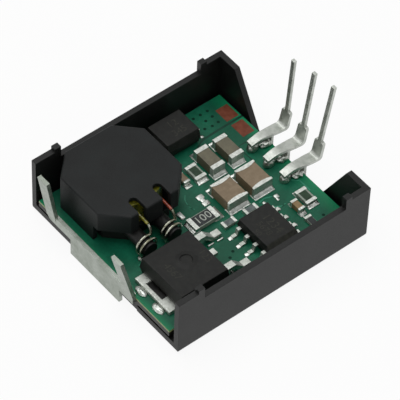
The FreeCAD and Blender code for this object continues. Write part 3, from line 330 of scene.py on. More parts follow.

# Below its pale upper band the cut edge is painted dark, as shade.
unshaded_low = BOARD_TOP - UNSHADED_EDGE_MM * MM
unshaded = add(mask_tree, "MapRange", {0: spot[2], 1: unshaded_low - EDGE_SHADE_BLUR_MM * MM,
                                    2: unshaded_low + EDGE_SHADE_BLUR_MM * MM}, clamp=True)
cut_edge = add(mask_tree, "Mix", {0: unshaded.outputs[0], 6: linear(CORE_PAINTED_SHADE), 7: linear(BOARD_CORE)},
               data_type="RGBA")
upward = add(mask_tree, "MapRange", {0: facing[2], 1: UPWARD_BAND[0], 2: UPWARD_BAND[1]}, clamp=True)
whole = add(mask_tree, "Mix", {0: upward.outputs[0], 6: cut_edge.outputs[2], 7: mask.outputs[2]},
            data_type="RGBA")
mask_tree.links.new(whole.outputs[2], mask_tree.nodes["Principled BSDF"].inputs["Base Color"])
track_green = finish("solder_mask_over_copper", "#2f8064", "#3a8f72", 1.2, 0.2, 0.003, 0.36, IOR=1.33)
gap_green = finish("solder_mask_over_bare_board", "#083829", "#0c4030", 1.2, 0.2, 0.003, 0.36, IOR=1.33)
hole_dark = finish("plated_hole_shade", "#05281d", "#083024", 0.3, 0.1, 0.002, 0.6, IOR=1.2)
print("board nodes in its tree", len(mask_tree.nodes))

# %% [markdown]
# ## Easing the solids' edges
#
# A real moulding or stamping has no perfectly sharp edge. A CAD node's own mesh is left alone: a
# copy is merged, its flat facets are joined into whole faces, and its sharp edges get a small
# bevel. The copy then stands for the node. Some copies are first shaped a little further.

# %% Eased copies of the solids
SHARP_DEGREES = 25.0
FLAT_DEGREES = 1.0
MERGE_MM = 0.002


def into_scene(name, mesh, material, replaced=()):
    """A finished piece that rides on the module."""
    made = bpy.data.objects.new(name, mesh)
    scene.collection.objects.link(made)
    mesh.materials.append(material)
    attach(made, "root")
    if replaced:
        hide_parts(*replaced)
    return made


def from_build(name, build, material, replaced=(), smooth=False):
    """Closes a bmesh into a piece."""
    mesh = bpy.data.meshes.new(name)
    for face in build.faces:
        face.smooth = smooth
    build.to_mesh(mesh)
    build.free()
    return into_scene(name, mesh, material, replaced)


def ease(build, edges, radius_mm, segments=2):
    """Rounds some edges."""
    bmesh.ops.bevel(build, geom=edges, offset=radius_mm * MM, segments=segments, profile=0.5,
                    affect="EDGES", material=-1, clamp_overlap=True)


def eased(node, radius_mm, material, shape=None):
    """A copy of a CAD node with soft edges, which stands for the node."""
    build = bmesh.new()
    build.from_mesh(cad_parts[node].data)
    bmesh.ops.remove_doubles(build, verts=build.verts, dist=MERGE_MM * MM)
    bmesh.ops.dissolve_limit(build, angle_limit=math.radians(FLAT_DEGREES), verts=build.verts,
                             edges=build.edges)
    if shape:
        shape(build)
    sharp = [e for e in build.edges if e.is_manifold and e.calc_face_angle() > math.radians(SHARP_DEGREES)]
    ease(build, sharp, radius_mm)
    return from_build("soft_" + node, build, material, (node,))


print("eases edges sharper than", SHARP_DEGREES, "degrees")

# %% [markdown]
# Three shapes need more. Sheet metal bends in an arc, so the leads' folds are rounded first, and
# their shoulders are trimmed as the punch left them. A fold is found by how far it lies out from
# the board's edge and how high above its top. The controller has the long bevel that marks its
# first side, painted a little paler than its top as a highlight. And the wide capacitors were
# dipped at their ends, so the edge of the metal bows inwards over the top.

# %% Leads: longer tips, round folds, trimmed shoulders
BEND_ROUND_MM = 0.42
BEND_PAST_MM = 1.2
BEND_HIGH_MM = (0.4, 1.3)
FOLD_SHIFT_MM = (0.42, 0, -0.064)
FOLD_BEFORE_MM = (-1.75, -1.55)
FOLD_AFTER_MM = (-1.4, -1.0)
FOLD_ABOVE_MM = 1.0
FOLD_TOP_ABOVE_MM = 1.1
FOLD_ROUND_MM = 0.5
SHOULDER_HIGH_MM = (2.7, 3.1)
SHOULDER_SIDE_MM = 0.35
SHOULDER_TRIM_MM = 0.22


def within(value, band):
    """Whether a value lies inside a band."""
    return band[0] < value < band[1]


def shape_lead(build):
    """Lengthens a lead's sloping tip, rounds its two folds and trims its shoulders."""
    middle = sum(v.co.y for v in build.verts) / len(build.verts)
    for vert in build.verts:
        out, high = (vert.co.x - BOARD_HIGH.x) / MM, (vert.co.z - BOARD_TOP) / MM
        if within(out, FOLD_BEFORE_MM) and high > FOLD_TOP_ABOVE_MM:
            vert.co += Vector(FOLD_SHIFT_MM) * MM
    folds, bends, shoulders = [], [], []
    for edge in build.edges:
        a, b = [v.co for v in edge.verts]
        out, high = (a.x - BOARD_HIGH.x) / MM, (a.z - BOARD_TOP) / MM
        same_x, same_y, same_z = [abs(a[i] - b[i]) < MERGE_MM * MM for i in range(3)]
        if same_x and same_z and out > BEND_PAST_MM and within(high, BEND_HIGH_MM):
            bends.append(edge)
        elif same_x and same_z and within(out, FOLD_AFTER_MM) and high > FOLD_ABOVE_MM:
            folds.append(edge)
        elif (same_y and same_z and within(high, SHOULDER_HIGH_MM)
              and abs(a.y - middle) > SHOULDER_SIDE_MM * MM):
            shoulders.append(edge)
    ease(build, bends, BEND_ROUND_MM, 5)
    ease(build, [e for e in folds if e.is_valid], FOLD_ROUND_MM, 4)
    ease(build, [e for e in shoulders if e.is_valid], SHOULDER_TRIM_MM, 2)


print("bends rounded to", BEND_ROUND_MM, "mm")

# %% Controller: its long bevel
CONTROLLER_BEVEL_MM = 0.42
FRONT_WITHIN_MM = 0.4
BEVEL_LEAN = 0.5


def long_bevel(build):
    """Bevels the controller's front top edge."""
    low_y = min(v.co.y for v in build.verts)
    top = max(v.co.z for v in build.verts)
    edges = [e for e in build.edges if all(v.co.z > top - MERGE_MM * MM
                                           and v.co.y < low_y + FRONT_WITHIN_MM * MM for v in e.verts)]
    ease(build, edges, CONTROLLER_BEVEL_MM, 1)
    # The bevel's faces take the second, paler finish: a painted highlight.
    for face in build.faces:
        face.normal_update()
        if face.normal.y < -BEVEL_LEAN and face.normal.z > BEVEL_LEAN:
            face.material_index = 1


print("bevel", CONTROLLER_BEVEL_MM, "mm wide on each face")

# %% Wide capacitors: bowed end metal
DIP_CUTS = 8
DIP_SIDE_MM = 0.25
DIP_BOW_MM = 0.46
DIP_INSIDE_MM = 0.3
CUT_REACH = 1e-7


def bow_metal(build):
    """Bows the inner edge of a capacitor's end metal over the top."""
    low = Vector([min(v.co[i] for v in build.verts) for i in range(3)])
    high = Vector([max(v.co[i] for v in build.verts) for i in range(3)])
    for step in range(1, DIP_CUTS):
        place = Vector((low.x + (high.x - low.x) * step / DIP_CUTS, 0, 0))
        bmesh.ops.bisect_plane(build, geom=build.verts[:] + build.edges[:] + build.faces[:], plane_co=place,
                               plane_no=(1, 0, 0), dist=CUT_REACH)
    half_y = (high.y - low.y) / 2
    for vert in build.verts:
        from_outside = half_y - abs(vert.co.y - (low.y + high.y) / 2)
        if from_outside > DIP_INSIDE_MM * MM:
            across = 2 * (vert.co.x - low.x) / (high.x - low.x) - 1
            reach = DIP_SIDE_MM + (DIP_BOW_MM - DIP_SIDE_MM) * (1 - across ** 2)
            vert.co.y += (from_outside - reach * MM) * (-1 if vert.co.y < (low.y + high.y) / 2 else 1)


print("end metal bows from", DIP_SIDE_MM, "to", DIP_BOW_MM, "mm")

# %% The copies
EASED = [
    ("housing", 0.09, tray_black, "tray", None),
    ("mounting_bracket", 0.06, bracket_tin, "bracket", None),
    ("lead_1", 0.04, tinned, "lead", shape_lead),
    ("lead_2", 0.04, tinned, "lead", shape_lead),
    ("lead_3", 0.04, tinned, "lead", shape_lead),
    ("inductor_case", 0.06, cap_black, "inductor_plastic", None),
    ("inductor_base", 0.05, header_black_and_slot_shade, "inductor_plastic", None),
    ("power_switch_body", 0.07, package_black, "package", None),
    ("power_switch_leads", 0.04, tinned, "package_metal", None),
    ("rectifier_body", 0.06, package_black, "package", None),
    ("rectifier_terminals", 0.03, tinned, "package_metal", None),
    ("controller_body", 0.05, package_black, "package", long_bevel),
    ("controller_leads", 0.03, tinned, "package_metal", None),
    ("capacitor_1_body", 0.05, ceramic_brown, "ceramic_brown", None),
    ("capacitor_2_body", 0.05, ceramic_brown, "ceramic_brown", None),
    ("capacitor_3_body", 0.05, ceramic_tan, "ceramic_tan", None),
    ("capacitor_4_body", 0.05, ceramic_tan, "ceramic_tan", None),
    ("capacitor_1_ends", 0.07, chip_ends, "end_metal", None),
    ("capacitor_2_ends", 0.07, chip_ends, "end_metal", None),
    ("capacitor_3_ends", 0.04, chip_ends, "end_metal", bow_metal),
    ("capacitor_4_ends", 0.04, chip_ends, "end_metal", bow_metal),
    ("sense_resistor_body", 0.03, alumina, "resistor_black", None),
    ("sense_resistor_ends", 0.04, chip_ends, "end_metal", None),
    ("window_chip_1_body", 0.03, alumina, "chip_green", None),
    ("window_chip_2_body", 0.03, alumina, "chip_green", None),
    ("window_chip_1_ends", 0.03, chip_ends, "end_metal", None),
    ("window_chip_2_ends", 0.03, chip_ends, "end_metal", None),
    ("small_capacitor_body", 0.04, ceramic_orange, "ceramic_tan", None),
    ("small_capacitor_ends", 0.04, chip_ends, "end_metal", None),
    ("small_resistor_bodies", 0.03, alumina, "resistor_black", None),
    ("small_resistor_ends", 0.03, chip_ends, "end_metal", None),
]
for node, radius, material, slot, shape in EASED:
    eased(node, radius, material, shape)
# The controller's second finish is a painted highlight on its bevel.
bpy.data.objects["soft_controller_body"].data.materials.append(etched_marks_and_bevel_highlight)
print("eased", len(EASED), "nodes")

# %% [markdown]
# The board, the ferrite ring and the winding keep their CAD meshes and only get a finish.

# %% Nodes that keep their mesh
KEPT = [("circuit_board", mask_green), ("inductor_core", ferrite), ("inductor_winding", enamel_green)]
for node, material in KEPT:
    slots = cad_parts[node].data.materials
    slots.clear()
    slots.append(material)
print("kept", len(KEPT), "nodes")

# %% [markdown]
# ## Small shapes used again and again
#
# Solder that wets a land lies as a flat plate with soft corners. Solder that wets a wire or a clip
# pulls into a lumpy mound. Glazes are thin plates too. Tracks are ribbons. Marks are thin digits,
# made from text that becomes a mesh before it is turned and placed.

# %% Plates and mounds
LUMP_MM = 0.35
CORNER_LIMIT = 0.35
RIM_SHARE = 0.7
SMOOTH_FROM_MM = 0.05
SWELLS = (2.3, 6.0)
FINE_SWELL_SHARE = 0.4


def plate(name, low, high, rise_mm, material=solder_matt, corner_mm=0.12, rough_mm=0.02):
    """A thin plate between two corners, with soft edges and a slightly uneven top."""
    build = bmesh.new()
    bmesh.ops.create_cube(build, size=1.0)
    size = Vector((high[0] - low[0], high[1] - low[1], rise_mm * MM))
    middle = Vector(((low[0] + high[0]) / 2, (low[1] + high[1]) / 2, low[2] + rise_mm * MM / 2))
    bmesh.ops.scale(build, vec=size, verts=build.verts)
    bmesh.ops.translate(build, vec=middle, verts=build.verts)
    upright = [e for e in build.edges if abs(e.verts[0].co.z - e.verts[1].co.z) > rise_mm * MM / 2]
    ease(build, upright, min(corner_mm, min(size.x, size.y) / MM * CORNER_LIMIT), 3)
    rim = [e for e in build.edges if min(v.co.z for v in e.verts) > low[2] + rise_mm * MM / 2]
    ease(build, rim, rise_mm * RIM_SHARE, 2)
    for vert in build.verts:
        if vert.co.z > low[2] + rise_mm * MM / 2:
            vert.co.z += noise.noise(vert.co / (LUMP_MM * MM)) * rough_mm * MM
    return from_build(name, build, material, smooth=rise_mm > SMOOTH_FROM_MM)


def mound(name, middle, size_mm, lumps=0.16, material=solder_bright, replaced=()):
    """A lumpy mound of solder round a point, flat where it meets the board."""
    build = bmesh.new()
    bmesh.ops.create_icosphere(build, subdivisions=4, radius=1.0)
    for vert in build.verts:
        coarse, fine = [noise.noise(vert.co * scale + middle / MM) for scale in SWELLS]
        swell = 1 + lumps * coarse + FINE_SWELL_SHARE * lumps * fine
        vert.co = Vector([c * s * MM / 2 * swell for c, s in zip(vert.co, size_mm)]) + middle
        vert.co.z = max(vert.co.z, BOARD_TOP)
    return from_build(name, build, material, replaced, smooth=True)


print("solder lumps about", LUMP_MM, "mm across")

# %% Ribbons and digits
TRACK_LIFT_MM = 0.002
TRACK_RISE_MM = 0.012
DIGIT_TO_TEXT = 1.4


def ribbon(name, points, width_mm, material):
    """A thin flat track along some points of the board."""
    build = bmesh.new()
    places = [at(*point, TRACK_LIFT_MM) for point in points]
    edge = None
    for here, ahead, behind in zip(places, places[1:] + places[-1:], places[:1] + places):
        along = (ahead - behind).normalized()
        side = Vector((-along.y, along.x, 0)) * width_mm * MM / 2
        if edge is None:
            edge = build.edges.new([build.verts.new(here - side), build.verts.new(here + side)])
        else:
            pushed = bmesh.ops.extrude_edge_only(build, edges=[edge])["geom"]
            edge = next(item for item in pushed if isinstance(item, bmesh.types.BMEdge))
            near, far = sorted(edge.verts, key=lambda v: (v.co - here + side).length)
            near.co, far.co = here - side, here + side
    bmesh.ops.recalc_face_normals(build, faces=build.faces)
    bmesh.ops.solidify(build, geom=build.faces[:], thickness=TRACK_RISE_MM * MM)
    top = max(v.co.z for v in build.verts)
    shift = BOARD_TOP + (TRACK_LIFT_MM + TRACK_RISE_MM) * MM - top
    bmesh.ops.translate(build, verts=build.verts, vec=(0, 0, shift))
    bmesh.ops.recalc_face_normals(build, faces=build.faces)
    return from_build(name, build, material)


def digits(name, text, middle, height_mm, turn_degrees, material, rise_mm=0.008):
    """Thin raised digits, centred on a point of an upper face."""
    curve = bpy.data.curves.new(name, "FONT")
    curve.body = text
    curve.size = height_mm * MM * DIGIT_TO_TEXT
    curve.align_x = "CENTER"
    curve.align_y = "CENTER"
    curve.extrude = rise_mm * MM / 2
    curve.resolution_u = 3
    holder = bpy.data.objects.new(name + "_text", curve)
    mesh = bpy.data.meshes.new_from_object(holder)
    bpy.data.objects.remove(holder)
    mesh.name = name
    mesh.transform(Matrix.Translation(middle) @ Matrix.Rotation(math.radians(turn_degrees), 4, "Z"))
    return into_scene(name, mesh, material)


print("tracks stand", TRACK_RISE_MM, "mm high")

# %% [markdown]
# ## The power transistor's tab
#
# The sheet under the power transistor stands out past the moulding as a flat strip. A slot lies
# between the strip and the body, and a dark plate in it, a little lower than the sheet, is painted
# shade in the deep slot. The tab's plate is made as a grid of nine cells with the middle one left
# out, then given its thickness. It stands for the CAD model's tab.

# %% Tab, its slot and its solder
STRIP_MM = 0.5
SLOT_SIDE_MM = (1.75, 1.25)
SLOT_UNDER_BODY_MM = 0.3
SHEET_ROUND_MM = 0.09
SHADE_PLATE_LAP_MM = 0.05
SHADE_PLATE_RISE_MM = 0.3
CELLS = 3
TAB_SOLDER_MM = (0.85, 1.6, 0.6)

tab_low, tab_high = [Vector(corner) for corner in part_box("power_switch_tab")]
switch_low = Vector(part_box("power_switch_body")[0])
across = [tab_low.x, tab_low.x + STRIP_MM * MM, switch_low.x + SLOT_UNDER_BODY_MM * MM, tab_high.x]
along = [tab_low.y, tab_low.y + SLOT_SIDE_MM[0] * MM, tab_high.y - SLOT_SIDE_MM[1] * MM, tab_high.y]

build = bmesh.new()
bmesh.ops.create_grid(build, x_segments=CELLS, y_segments=CELLS, size=CELLS / 2)
for vert in build.verts:
    column, row = round(vert.co.x + CELLS / 2), round(vert.co.y + CELLS / 2)
    vert.co = Vector((across[column], along[row], tab_low.z))
middle_cell = min(build.faces, key=lambda f: (f.calc_center_median().xy - Vector(
    ((across[1] + across[2]) / 2, (along[1] + along[2]) / 2))).length)
bmesh.ops.delete(build, geom=[middle_cell], context="FACES")
raised = bmesh.ops.extrude_face_region(build, geom=build.faces[:])["geom"]
bmesh.ops.translate(build, verts=[g for g in raised if isinstance(g, bmesh.types.BMVert)],
                    vec=(0, 0, tab_high.z - tab_low.z))
bmesh.ops.recalc_face_normals(build, faces=build.faces)
rims = [e for e in build.edges if e.is_manifold and e.calc_face_angle() > math.radians(SHARP_DEGREES)]
ease(build, rims, SHEET_ROUND_MM, 3)
from_build("switch_tab_plate", build, tinned, ("power_switch_tab",))
# Painted shade: a dark plate low in the slot, in the header's black, stands for the shade in the deep slot.
lap = SHADE_PLATE_LAP_MM * MM
plate("switch_slot_painted_shade", Vector((across[1] - lap, along[1] - lap, tab_low.z + lap)),
      Vector((across[2] + lap, along[2] + lap, 0)), SHADE_PLATE_RISE_MM, header_black_and_slot_shade, 0.03, 0.0)
mound("solder_tab_far", at(0.74, 6.62, 0.05), TAB_SOLDER_MM, 0.12, solder_matt, ("solder_joints",))
mound("solder_tab_near", at(0.7, 3.97, 0.05), TAB_SOLDER_MM, 0.12, solder_matt)
print("tab strip", STRIP_MM, "mm wide")

# %% [markdown]
# ## The winding ends
#
# Each end of the winding leaves its slot, drops past the cap's front and is wrapped round a peg,
# then dipped in solder. The solid has straight steps. Here the wire is a smooth curve with a round
# section, in two lengths that are made meshes so that they keep their place. The first drops past
# the cap and keeps its enamel. The second is coiled round the peg and tinned, and its tail ends in
# a drop of solder on the board.

# %% A round wire
WIRE_MM = 0.31


def tube(name, route, diameter_mm, material, replaced=()):
    """A round wire along a smooth curve, as a mesh."""
    curve = bpy.data.curves.new(name, "CURVE")
    curve.dimensions = "3D"
    curve.bevel_depth = diameter_mm * MM / 2
    curve.bevel_resolution = 4
    curve.use_fill_caps = True
    spline = curve.splines.new("NURBS")
    spline.points.add(len(route) - 1)
    for point, place in zip(spline.points, route):
        point.co = (*place, 1.0)
    spline.order_u = 3
    spline.use_endpoint_u = True
    spline.resolution_u = 6
    holder = bpy.data.objects.new(name + "_curve", curve)
    mesh = bpy.data.meshes.new_from_object(holder)
    bpy.data.objects.remove(holder)
    mesh.name = name
    return into_scene(name, mesh, material, replaced)


print("wire", WIRE_MM, "mm thick")

# %% Wires round their pegs
ENAMELLED_SHARE = 0.98
SLOT_SPACING_MM = 2.95
PEG_SPACING_MM = 3.05
PEG_SHIFT_MM = -0.65
PEG_AXIS_RISE_MM = 1.2
TURN_WIDE_MM = 1.08
TURN_HIGH_MM = 1.0
TURN_PITCH_MM = 0.6
TURN_FROM_DEGREES = 42
TURN_TO_DEGREES = 540
TURN_STEPS = 44
COIL_AHEAD_MM = 1.1
DROP_MM = [(0.03, 0.9, 3.3), (0.06, 0.1, 3.25), (0.12, -0.6, 3.05), (0.2, -0.95, 2.6)]
TAIL_MM = [(-0.98, -1.9, 0.7), (-0.8, -1.75, 0.2)]

cap_low, cap_high = [Vector(corner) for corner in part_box("inductor_case")]
CAP_FACE_MM = (cap_low.y - TRAY_LOW.y) / MM
CAP_MIDDLE_MM = ((cap_low.x + cap_high.x) / 2 - TRAY_LOW.x) / MM

for number, side, enamel in ((1, -1, enamel_green), (2, 1, enamel_red)):
    slot_x = CAP_MIDDLE_MM + side * SLOT_SPACING_MM / 2
    peg_x = CAP_MIDDLE_MM + PEG_SHIFT_MM + side * PEG_SPACING_MM / 2
    drop = [at(slot_x + aside, CAP_FACE_MM + ahead, high) for aside, ahead, high in DROP_MM]
    coil = []
    for step in range(TURN_STEPS + 1):
        turned = TURN_FROM_DEGREES + (TURN_TO_DEGREES - TURN_FROM_DEGREES) * step / TURN_STEPS
        coil.append(at(peg_x + TURN_WIDE_MM * math.cos(math.radians(turned)),
                       CAP_FACE_MM - COIL_AHEAD_MM - (turned - TURN_FROM_DEGREES) / 360 * TURN_PITCH_MM,
                       PEG_AXIS_RISE_MM + TURN_HIGH_MM * math.sin(math.radians(turned))))
    tail = [at(peg_x + aside, CAP_FACE_MM + ahead, high) for aside, ahead, high in TAIL_MM]
    tube(f"winding_drop_{number}", drop[:3], WIRE_MM * ENAMELLED_SHARE, enamel)
    tube(f"winding_coil_{number}", drop[2:] + coil + tail, WIRE_MM, wire_tin,
         (f"winding_end_{number}",))
mound("tail_solder_1", at(3.3, 9.8, 0.1), (0.75, 0.7, 0.6))
plate("tail_solder_2", at(9.4, 11.15), at(9.95, 12.15), 0.14, rough_mm=0.05)
print("coil points", len(coil))

# %% [markdown]
# ## Chip parts
#
# Each chip stands on two lands of solder. Under the larger ones the far land reaches further out.
# The resistors carry a dark glaze between their ends, and the window chips a green one, framed by
# the pale ceramic. The larger resistor has plain white digits.

# %% Chip lands
LAND_RISE_MM = 0.08
LAND_INNER_SHARE = 0.3
FILLET_WIDE_MM = 0.3
FILLET_TOE_SHARE = 0.3
FILLET_CUTS = 7
FILLET_LUMP_MM = 0.035
FILLET_GRAIN_MM = 0.22
FILLET_STILL_MM = (0.05, 0.02)


def fillet(name, low, high, axis, sign, rise_mm):
    """A sloping run of solder against the end of a chip, whose box is given."""
    end = low[axis] if sign < 0 else high[axis]
    a, b = low.copy(), high.copy()
    a[axis], b[axis] = sorted((end, end + sign * FILLET_WIDE_MM * MM))
    a.z, b.z = BOARD_TOP, BOARD_TOP + rise_mm * MM
    build = bmesh.new()
    bmesh.ops.create_cube(build, size=1.0)
    bmesh.ops.scale(build, vec=b - a, verts=build.verts)
    bmesh.ops.translate(build, vec=(a + b) / 2, verts=build.verts)
    for vert in build.verts:
        if vert.co.z > a.z + rise_mm * MM / 2 and (vert.co[axis] - (a[axis] + b[axis]) / 2) * sign > 0:
            vert.co.z = a.z + FILLET_TOE_SHARE * rise_mm * MM
    bmesh.ops.subdivide_edges(build, edges=build.edges, cuts=FILLET_CUTS, use_grid_fill=True)
    low_still, end_still = [still * MM for still in FILLET_STILL_MM]
    for vert in build.verts:
        if vert.co.z > a.z + low_still and (vert.co[axis] - end) * sign > end_still:
            vert.co.z += FILLET_LUMP_MM * MM * noise.noise(vert.co / (FILLET_GRAIN_MM * MM))
    return from_build(name, build, solder_matt, smooth=True)


def end_lands(node, near_mm, far_mm, side_mm, fillet_mm, along_x=False):
    """Two lands under the ends of a chip, which reach out past them, each with its run of solder."""
    low, high = [Vector(corner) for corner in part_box(node)]
    axis = 0 if along_x else 1
    for name, sign, reach in (("near", -1, near_mm), ("far", 1, far_mm)):
        a, b = low.copy(), high.copy()
        a[1 - axis] -= side_mm * MM
        b[1 - axis] += side_mm * MM
        inner = (low[axis] + high[axis]) / 2 + sign * (high[axis] - low[axis]) * LAND_INNER_SHARE
        outer = (low[axis] if sign < 0 else high[axis]) + sign * reach * MM
        a[axis], b[axis] = sorted((inner, outer))
        a.z = BOARD_TOP
        plate(f"land_{node}_{name}", a, b, LAND_RISE_MM, corner_mm=0.05)
        fillet(f"fillet_{node}_{name}", low, high, axis, sign, fillet_mm)


for number in (1, 2, 3, 4):
    end_lands(f"capacitor_{number}_ends", 0.42, 0.6, 0.06, 0.36)
end_lands("sense_resistor_ends", 0.3, 0.5, 0.03, 0.25, along_x=True)
for number in (1, 2):
    end_lands(f"window_chip_{number}_ends", 0.4, 0.3, 0.03, 0.2)
end_lands("small_capacitor_ends", 0.35, 0.3, 0.03, 0.25)

# %% Glazes and digits on the chips
GLAZE_RISE_MM = 0.025


def glaze(name, node, ends, material, margin_mm, short_mm=0.0, along_x=False):
    """A thin glaze on a chip's upper face, between its ends."""
    low, high = [Vector(corner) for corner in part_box(node)]
    axis = 0 if along_x else 1
    low[axis] += (ends + short_mm) * MM
    high[axis] -= (ends + short_mm) * MM
    low[1 - axis] += margin_mm * MM
    high[1 - axis] -= margin_mm * MM
    low.z = high.z
    plate(name, low, high, GLAZE_RISE_MM, material, 0.02, 0.0)
    return (low + high) / 2 + Vector((0, 0, GLAZE_RISE_MM * MM))


sense_top = glaze("sense_resistor_glaze", "sense_resistor_body", 0.46, glaze_black, 0.09,
                  along_x=True)
digits("sense_resistor_digits", "100", sense_top, 0.92, 0, digit_white)
for number in (1, 2):
    glaze(f"window_glaze_{number}", f"window_chip_{number}_body", 0.36, glaze_green, 0.2, 0.02)
print("sense resistor glazed at", round((sense_top.z - BOARD_TOP) / MM, 2), "mm above the board")

# %% [markdown]
# The three small resistors share one node, so their places are written here, from the same sizes
# as the solids. A further small capacitor stands half hidden behind the inductor.

# %% Small resistors and the half-hidden capacitor
SMALL = [(12.75, 7.95, (0.44, 0.32), glaze_blue), (15.5, 7.95, (0.44, 0.32), glaze_blue),
         (19.3, 3.1, (0.32, 0.44), glaze_black)]
SMALL_TOP_MM = 0.41
for number, (x, y, half, material) in enumerate(SMALL, start=1):
    plate(f"small_glaze_{number}", at(x - half[0], y - half[1], SMALL_TOP_MM),
          at(x + half[0], y + half[1], SMALL_TOP_MM), GLAZE_RISE_MM, material, 0.02, 0.0)

HIDDEN_PLACE = at(12.66, 15.05)
HIDDEN_PIECES = [
    ("hidden_capacitor_body", (-0.36, -0.7, 0.08), (0.36, 0.7, 0), 0.52, ceramic_tan, "ceramic_tan", 0.04),
    ("hidden_capacitor_near_end", (-0.38, -0.75, 0.06), (0.38, -0.45, 0), 0.56, chip_ends, "end_metal", 0.05),
    ("hidden_capacitor_far_end", (-0.38, 0.45, 0.06), (0.38, 0.75, 0), 0.56, chip_ends, "end_metal", 0.05),
]
for name, low, high, rise, material, slot, corner in HIDDEN_PIECES:
    plate(name, HIDDEN_PLACE + Vector(low) * MM, HIDDEN_PLACE + Vector(high) * MM, rise, material,
          corner, 0.0)
plate("land_hidden_capacitor", HIDDEN_PLACE + Vector((-0.42, -1.15, 0)) * MM,
      HIDDEN_PLACE + Vector((0.42, -0.4, 0)) * MM, LAND_RISE_MM)
print("small glazes", len(SMALL))

# %% [markdown]
# ## Solder at the leads
#
# Each lead grips the board's edge in a clip. Solder floods the clip's upper finger and the space
# below the strip's tip, in dark and bright lumps.

# %% Solder at the leads
CLIP_INWARD_MM, CLIP_ABOVE_MM, CLIP_SOLDER_MM, CLIP_LUMPS = 0.62, 0.22, (1.5, 1.6, 0.9), 0.26
TIP_INWARD_MM, TIP_ABOVE_MM, TIP_SOLDER_MM, TIP_LUMPS = 2.05, 0.3, (1.3, 1.0, 1.3), 0.16
for number in (1, 2, 3):
    low, high = [Vector(corner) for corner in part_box(f"lead_{number}")]
    y = ((low.y + high.y) / 2 - TRAY_LOW.y) / MM
    mound(f"solder_clip_{number}", at(BOARD_END_MM - CLIP_INWARD_MM, y, CLIP_ABOVE_MM), CLIP_SOLDER_MM,
          CLIP_LUMPS)
    mound(f"solder_tip_{number}", at(BOARD_END_MM - TIP_INWARD_MM, y, TIP_ABOVE_MM), TIP_SOLDER_MM, TIP_LUMPS)
print("lead solder", 2 * number, "mounds")

# %% [markdown]
# ## What is printed and drilled on the board
#
# Two square lands of bare copper lie near the back corner, with a scatter of plated holes beside
# them. A gap in the copper shows as a darker line between them. Small lands fill the gaps between
# the parts.

# %% Bare copper and plated holes
BARE_LANDS = [((21.1, 18.42), (22.62, 20.3)), ((21.1, 15.85), (22.55, 17.8))]
for number, (low, high) in enumerate(BARE_LANDS, start=1):
    plate(f"bare_land_{number}", at(*low), at(*high), 0.03, bare_land, 0.03, 0.004)

HOLES = [(20.45, 20.77), (19.48, 19.82), (20.39, 18.95), (19.58, 18.9), (18.73, 19.05), (18.66, 20.8),
         (19.55, 20.79), (20.38, 19.89), (10.92, 5.09), (10.2, 4.64), (20.9, 3.2)]
HOLE_MM = 0.34
HOLE_LIFT_MM = 0.004
RIM_MM = (0.07, -0.003)
for number, (x, y) in enumerate(HOLES, start=1):
    build = bmesh.new()
    bmesh.ops.create_circle(build, cap_ends=True, segments=20, radius=HOLE_MM * MM / 2)
    bmesh.ops.translate(build, vec=at(x, y, HOLE_LIFT_MM), verts=build.verts)
    bmesh.ops.inset_region(build, faces=build.faces, thickness=RIM_MM[0] * MM, depth=RIM_MM[1] * MM)
    from_build(f"plated_hole_{number}", build, hole_dark)
print("plated holes", len(HOLES))

# %% Tracks and gaps in the copper
TRACKS = [
    ("copper_gap_1", [(22.83, 18.13), (19.9, 18.12), (17.7, 18.05), (16.6, 17.5)], 0.26, gap_green),
    ("copper_gap_2", [(20.9, 15.2), (19.9, 15.2), (19.9, 12.6)], 0.2, gap_green),
    ("track_1", [(11.72, 13.5), (11.35, 13.1), (11.15, 12.5), (11.1, 12.0), (11.3, 11.5)], 0.12, track_green),
    ("track_2", [(19.2, 5.5), (19.2, 4.1)], 0.14, solder_matt),
    ("track_3", [(17.6, 7.0), (18.3, 6.6), (18.9, 6.6)], 0.16, track_green),
    ("track_4", [(16.9, 8.25), (17.6, 8.4), (18.4, 8.1)], 0.16, track_green),
    ("track_5", [(21.3, 8.6), (21.9, 8.0), (21.9, 6.4)], 0.16, track_green),
    ("track_6", [(2.6, 9.3), (4.4, 9.3)], 0.16, track_green),
]
for name, points, width, material in TRACKS:
    ribbon(name, points, width, material)
print("tracks", len(TRACKS))

# %% Small lands
SMALL_LANDS = [
    ("hourglass_far", (12.28, 12.05), (13.1, 12.68), 0.08),
    ("hourglass_neck", (12.42, 11.6), (12.92, 12.2), 0.06),
    ("hourglass_near", (12.28, 11.12), (13.1, 11.72), 0.08),
    ("teardrop_far", (18.45, 7.6), (19.0, 8.1), 0.12),
    ("teardrop_near", (18.45, 7.25), (18.75, 7.7), 0.1),
    ("by_controller", (17.05, 7.75), (17.4, 8.1), 0.1),
    ("by_rectifier", (17.6, 18.2), (18.0, 18.55), 0.12),
    ("switch_side_1", (9.35, 6.9), (10.1, 7.12), 0.16),
    ("switch_side_2", (10.45, 6.85), (11.25, 7.08), 0.16),
    ("switch_foot_2", (10.25, 2.6), (11.45, 3.5), 0.08),
]
CONTROLLER_MIDDLE_MM = 4.55
CONTROLLER_PITCH_MM = 1.27
LEADS_A_SIDE = 4
HALF_LAND_MM = 0.23
for name, low, high, rise in SMALL_LANDS:
    plate(f"land_{name}", at(*low), at(*high), rise)
for side, low_x, high_x in (("left", 11.48, 12.3), ("right", 17.5, 18.05)):
    for number in range(LEADS_A_SIDE):
        y = CONTROLLER_MIDDLE_MM + (number - (LEADS_A_SIDE - 1) / 2) * CONTROLLER_PITCH_MM
        plate(f"land_controller_{side}_{number + 1}", at(low_x, y - HALF_LAND_MM),
              at(high_x, y + HALF_LAND_MM), LAND_RISE_MM, rough_mm=0.04)
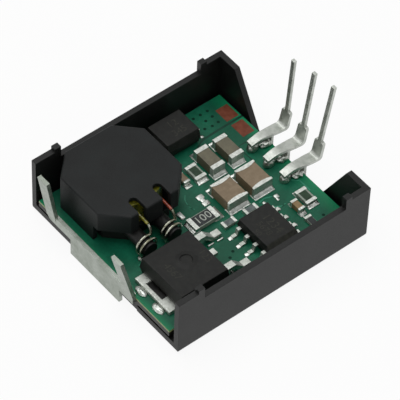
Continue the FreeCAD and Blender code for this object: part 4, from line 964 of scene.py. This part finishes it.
mound("solder_by_switch", at(9.15, 3.05, 0.1), (0.5, 0.5, 0.55), 0.05)
print("small lands", len(SMALL_LANDS) + 2 * LEADS_A_SIDE)

# %% [markdown]
# ## Marks on the packages
#
# The makers' codes are left off. Plain digits stand in their place, as faint as laser marks are on
# black compound. A round mark is left where the mould's pin pushed the transistor out: a flat disc
# with a low rim that is steep inside and gentle outside, spun from its section.

# %% Package marks
MARKS = [
    ("controller", "1234", (15.35, 4.45, 1.6), 0.95, -90),
    ("controller", "5678", (14.3, 4.45, 1.6), 0.7, -90),
    ("controller", "90", (13.45, 4.45, 1.6), 0.6, -90),
    ("rectifier", "12", (15.35, 20.1, 2.2), 0.85, 0),
    ("rectifier", "345", (15.35, 18.95, 2.2), 0.8, 0),
    ("switch", "123", (7.2, 4.9, 2.3), 0.8, -90),
    ("switch", "4567", (3.5, 5.3, 2.3), 0.8, -90),
]
MARK_RISE_MM = 0.006
for number, (part, text, place, height, turn) in enumerate(MARKS, start=1):
    digits(f"{part}_mark_{number}", text, at(*place), height, turn, etched_marks_and_bevel_highlight, MARK_RISE_MM)
print("digit marks", len(MARKS))

# %% Round mould mark
MOULD_SECTION_MM = [(0.001, 0.004), (0.6, 0.004), (0.66, 0.11), (1.15, -0.002)]
MOULD_PLACE = at(5.45, 5.62, 2.3)
SPIN_STEPS = 32
SPIN_MERGE_MM = 0.003

build = bmesh.new()
section = [build.verts.new((radius * MM, 0, high * MM)) for radius, high in MOULD_SECTION_MM]
lines = [build.edges.new(pair) for pair in zip(section, section[1:])]
bmesh.ops.spin(build, geom=section + lines, cent=(0, 0, 0), axis=(0, 0, 1), angle=2 * math.pi,
               steps=SPIN_STEPS, use_merge=True)
bmesh.ops.remove_doubles(build, verts=build.verts, dist=SPIN_MERGE_MM * MM)
bmesh.ops.recalc_face_normals(build, faces=build.faces)
bmesh.ops.translate(build, vec=MOULD_PLACE, verts=build.verts)
from_build("switch_mould_mark", build, package_black)
print("mould mark", 2 * MOULD_SECTION_MM[-1][0], "mm across")
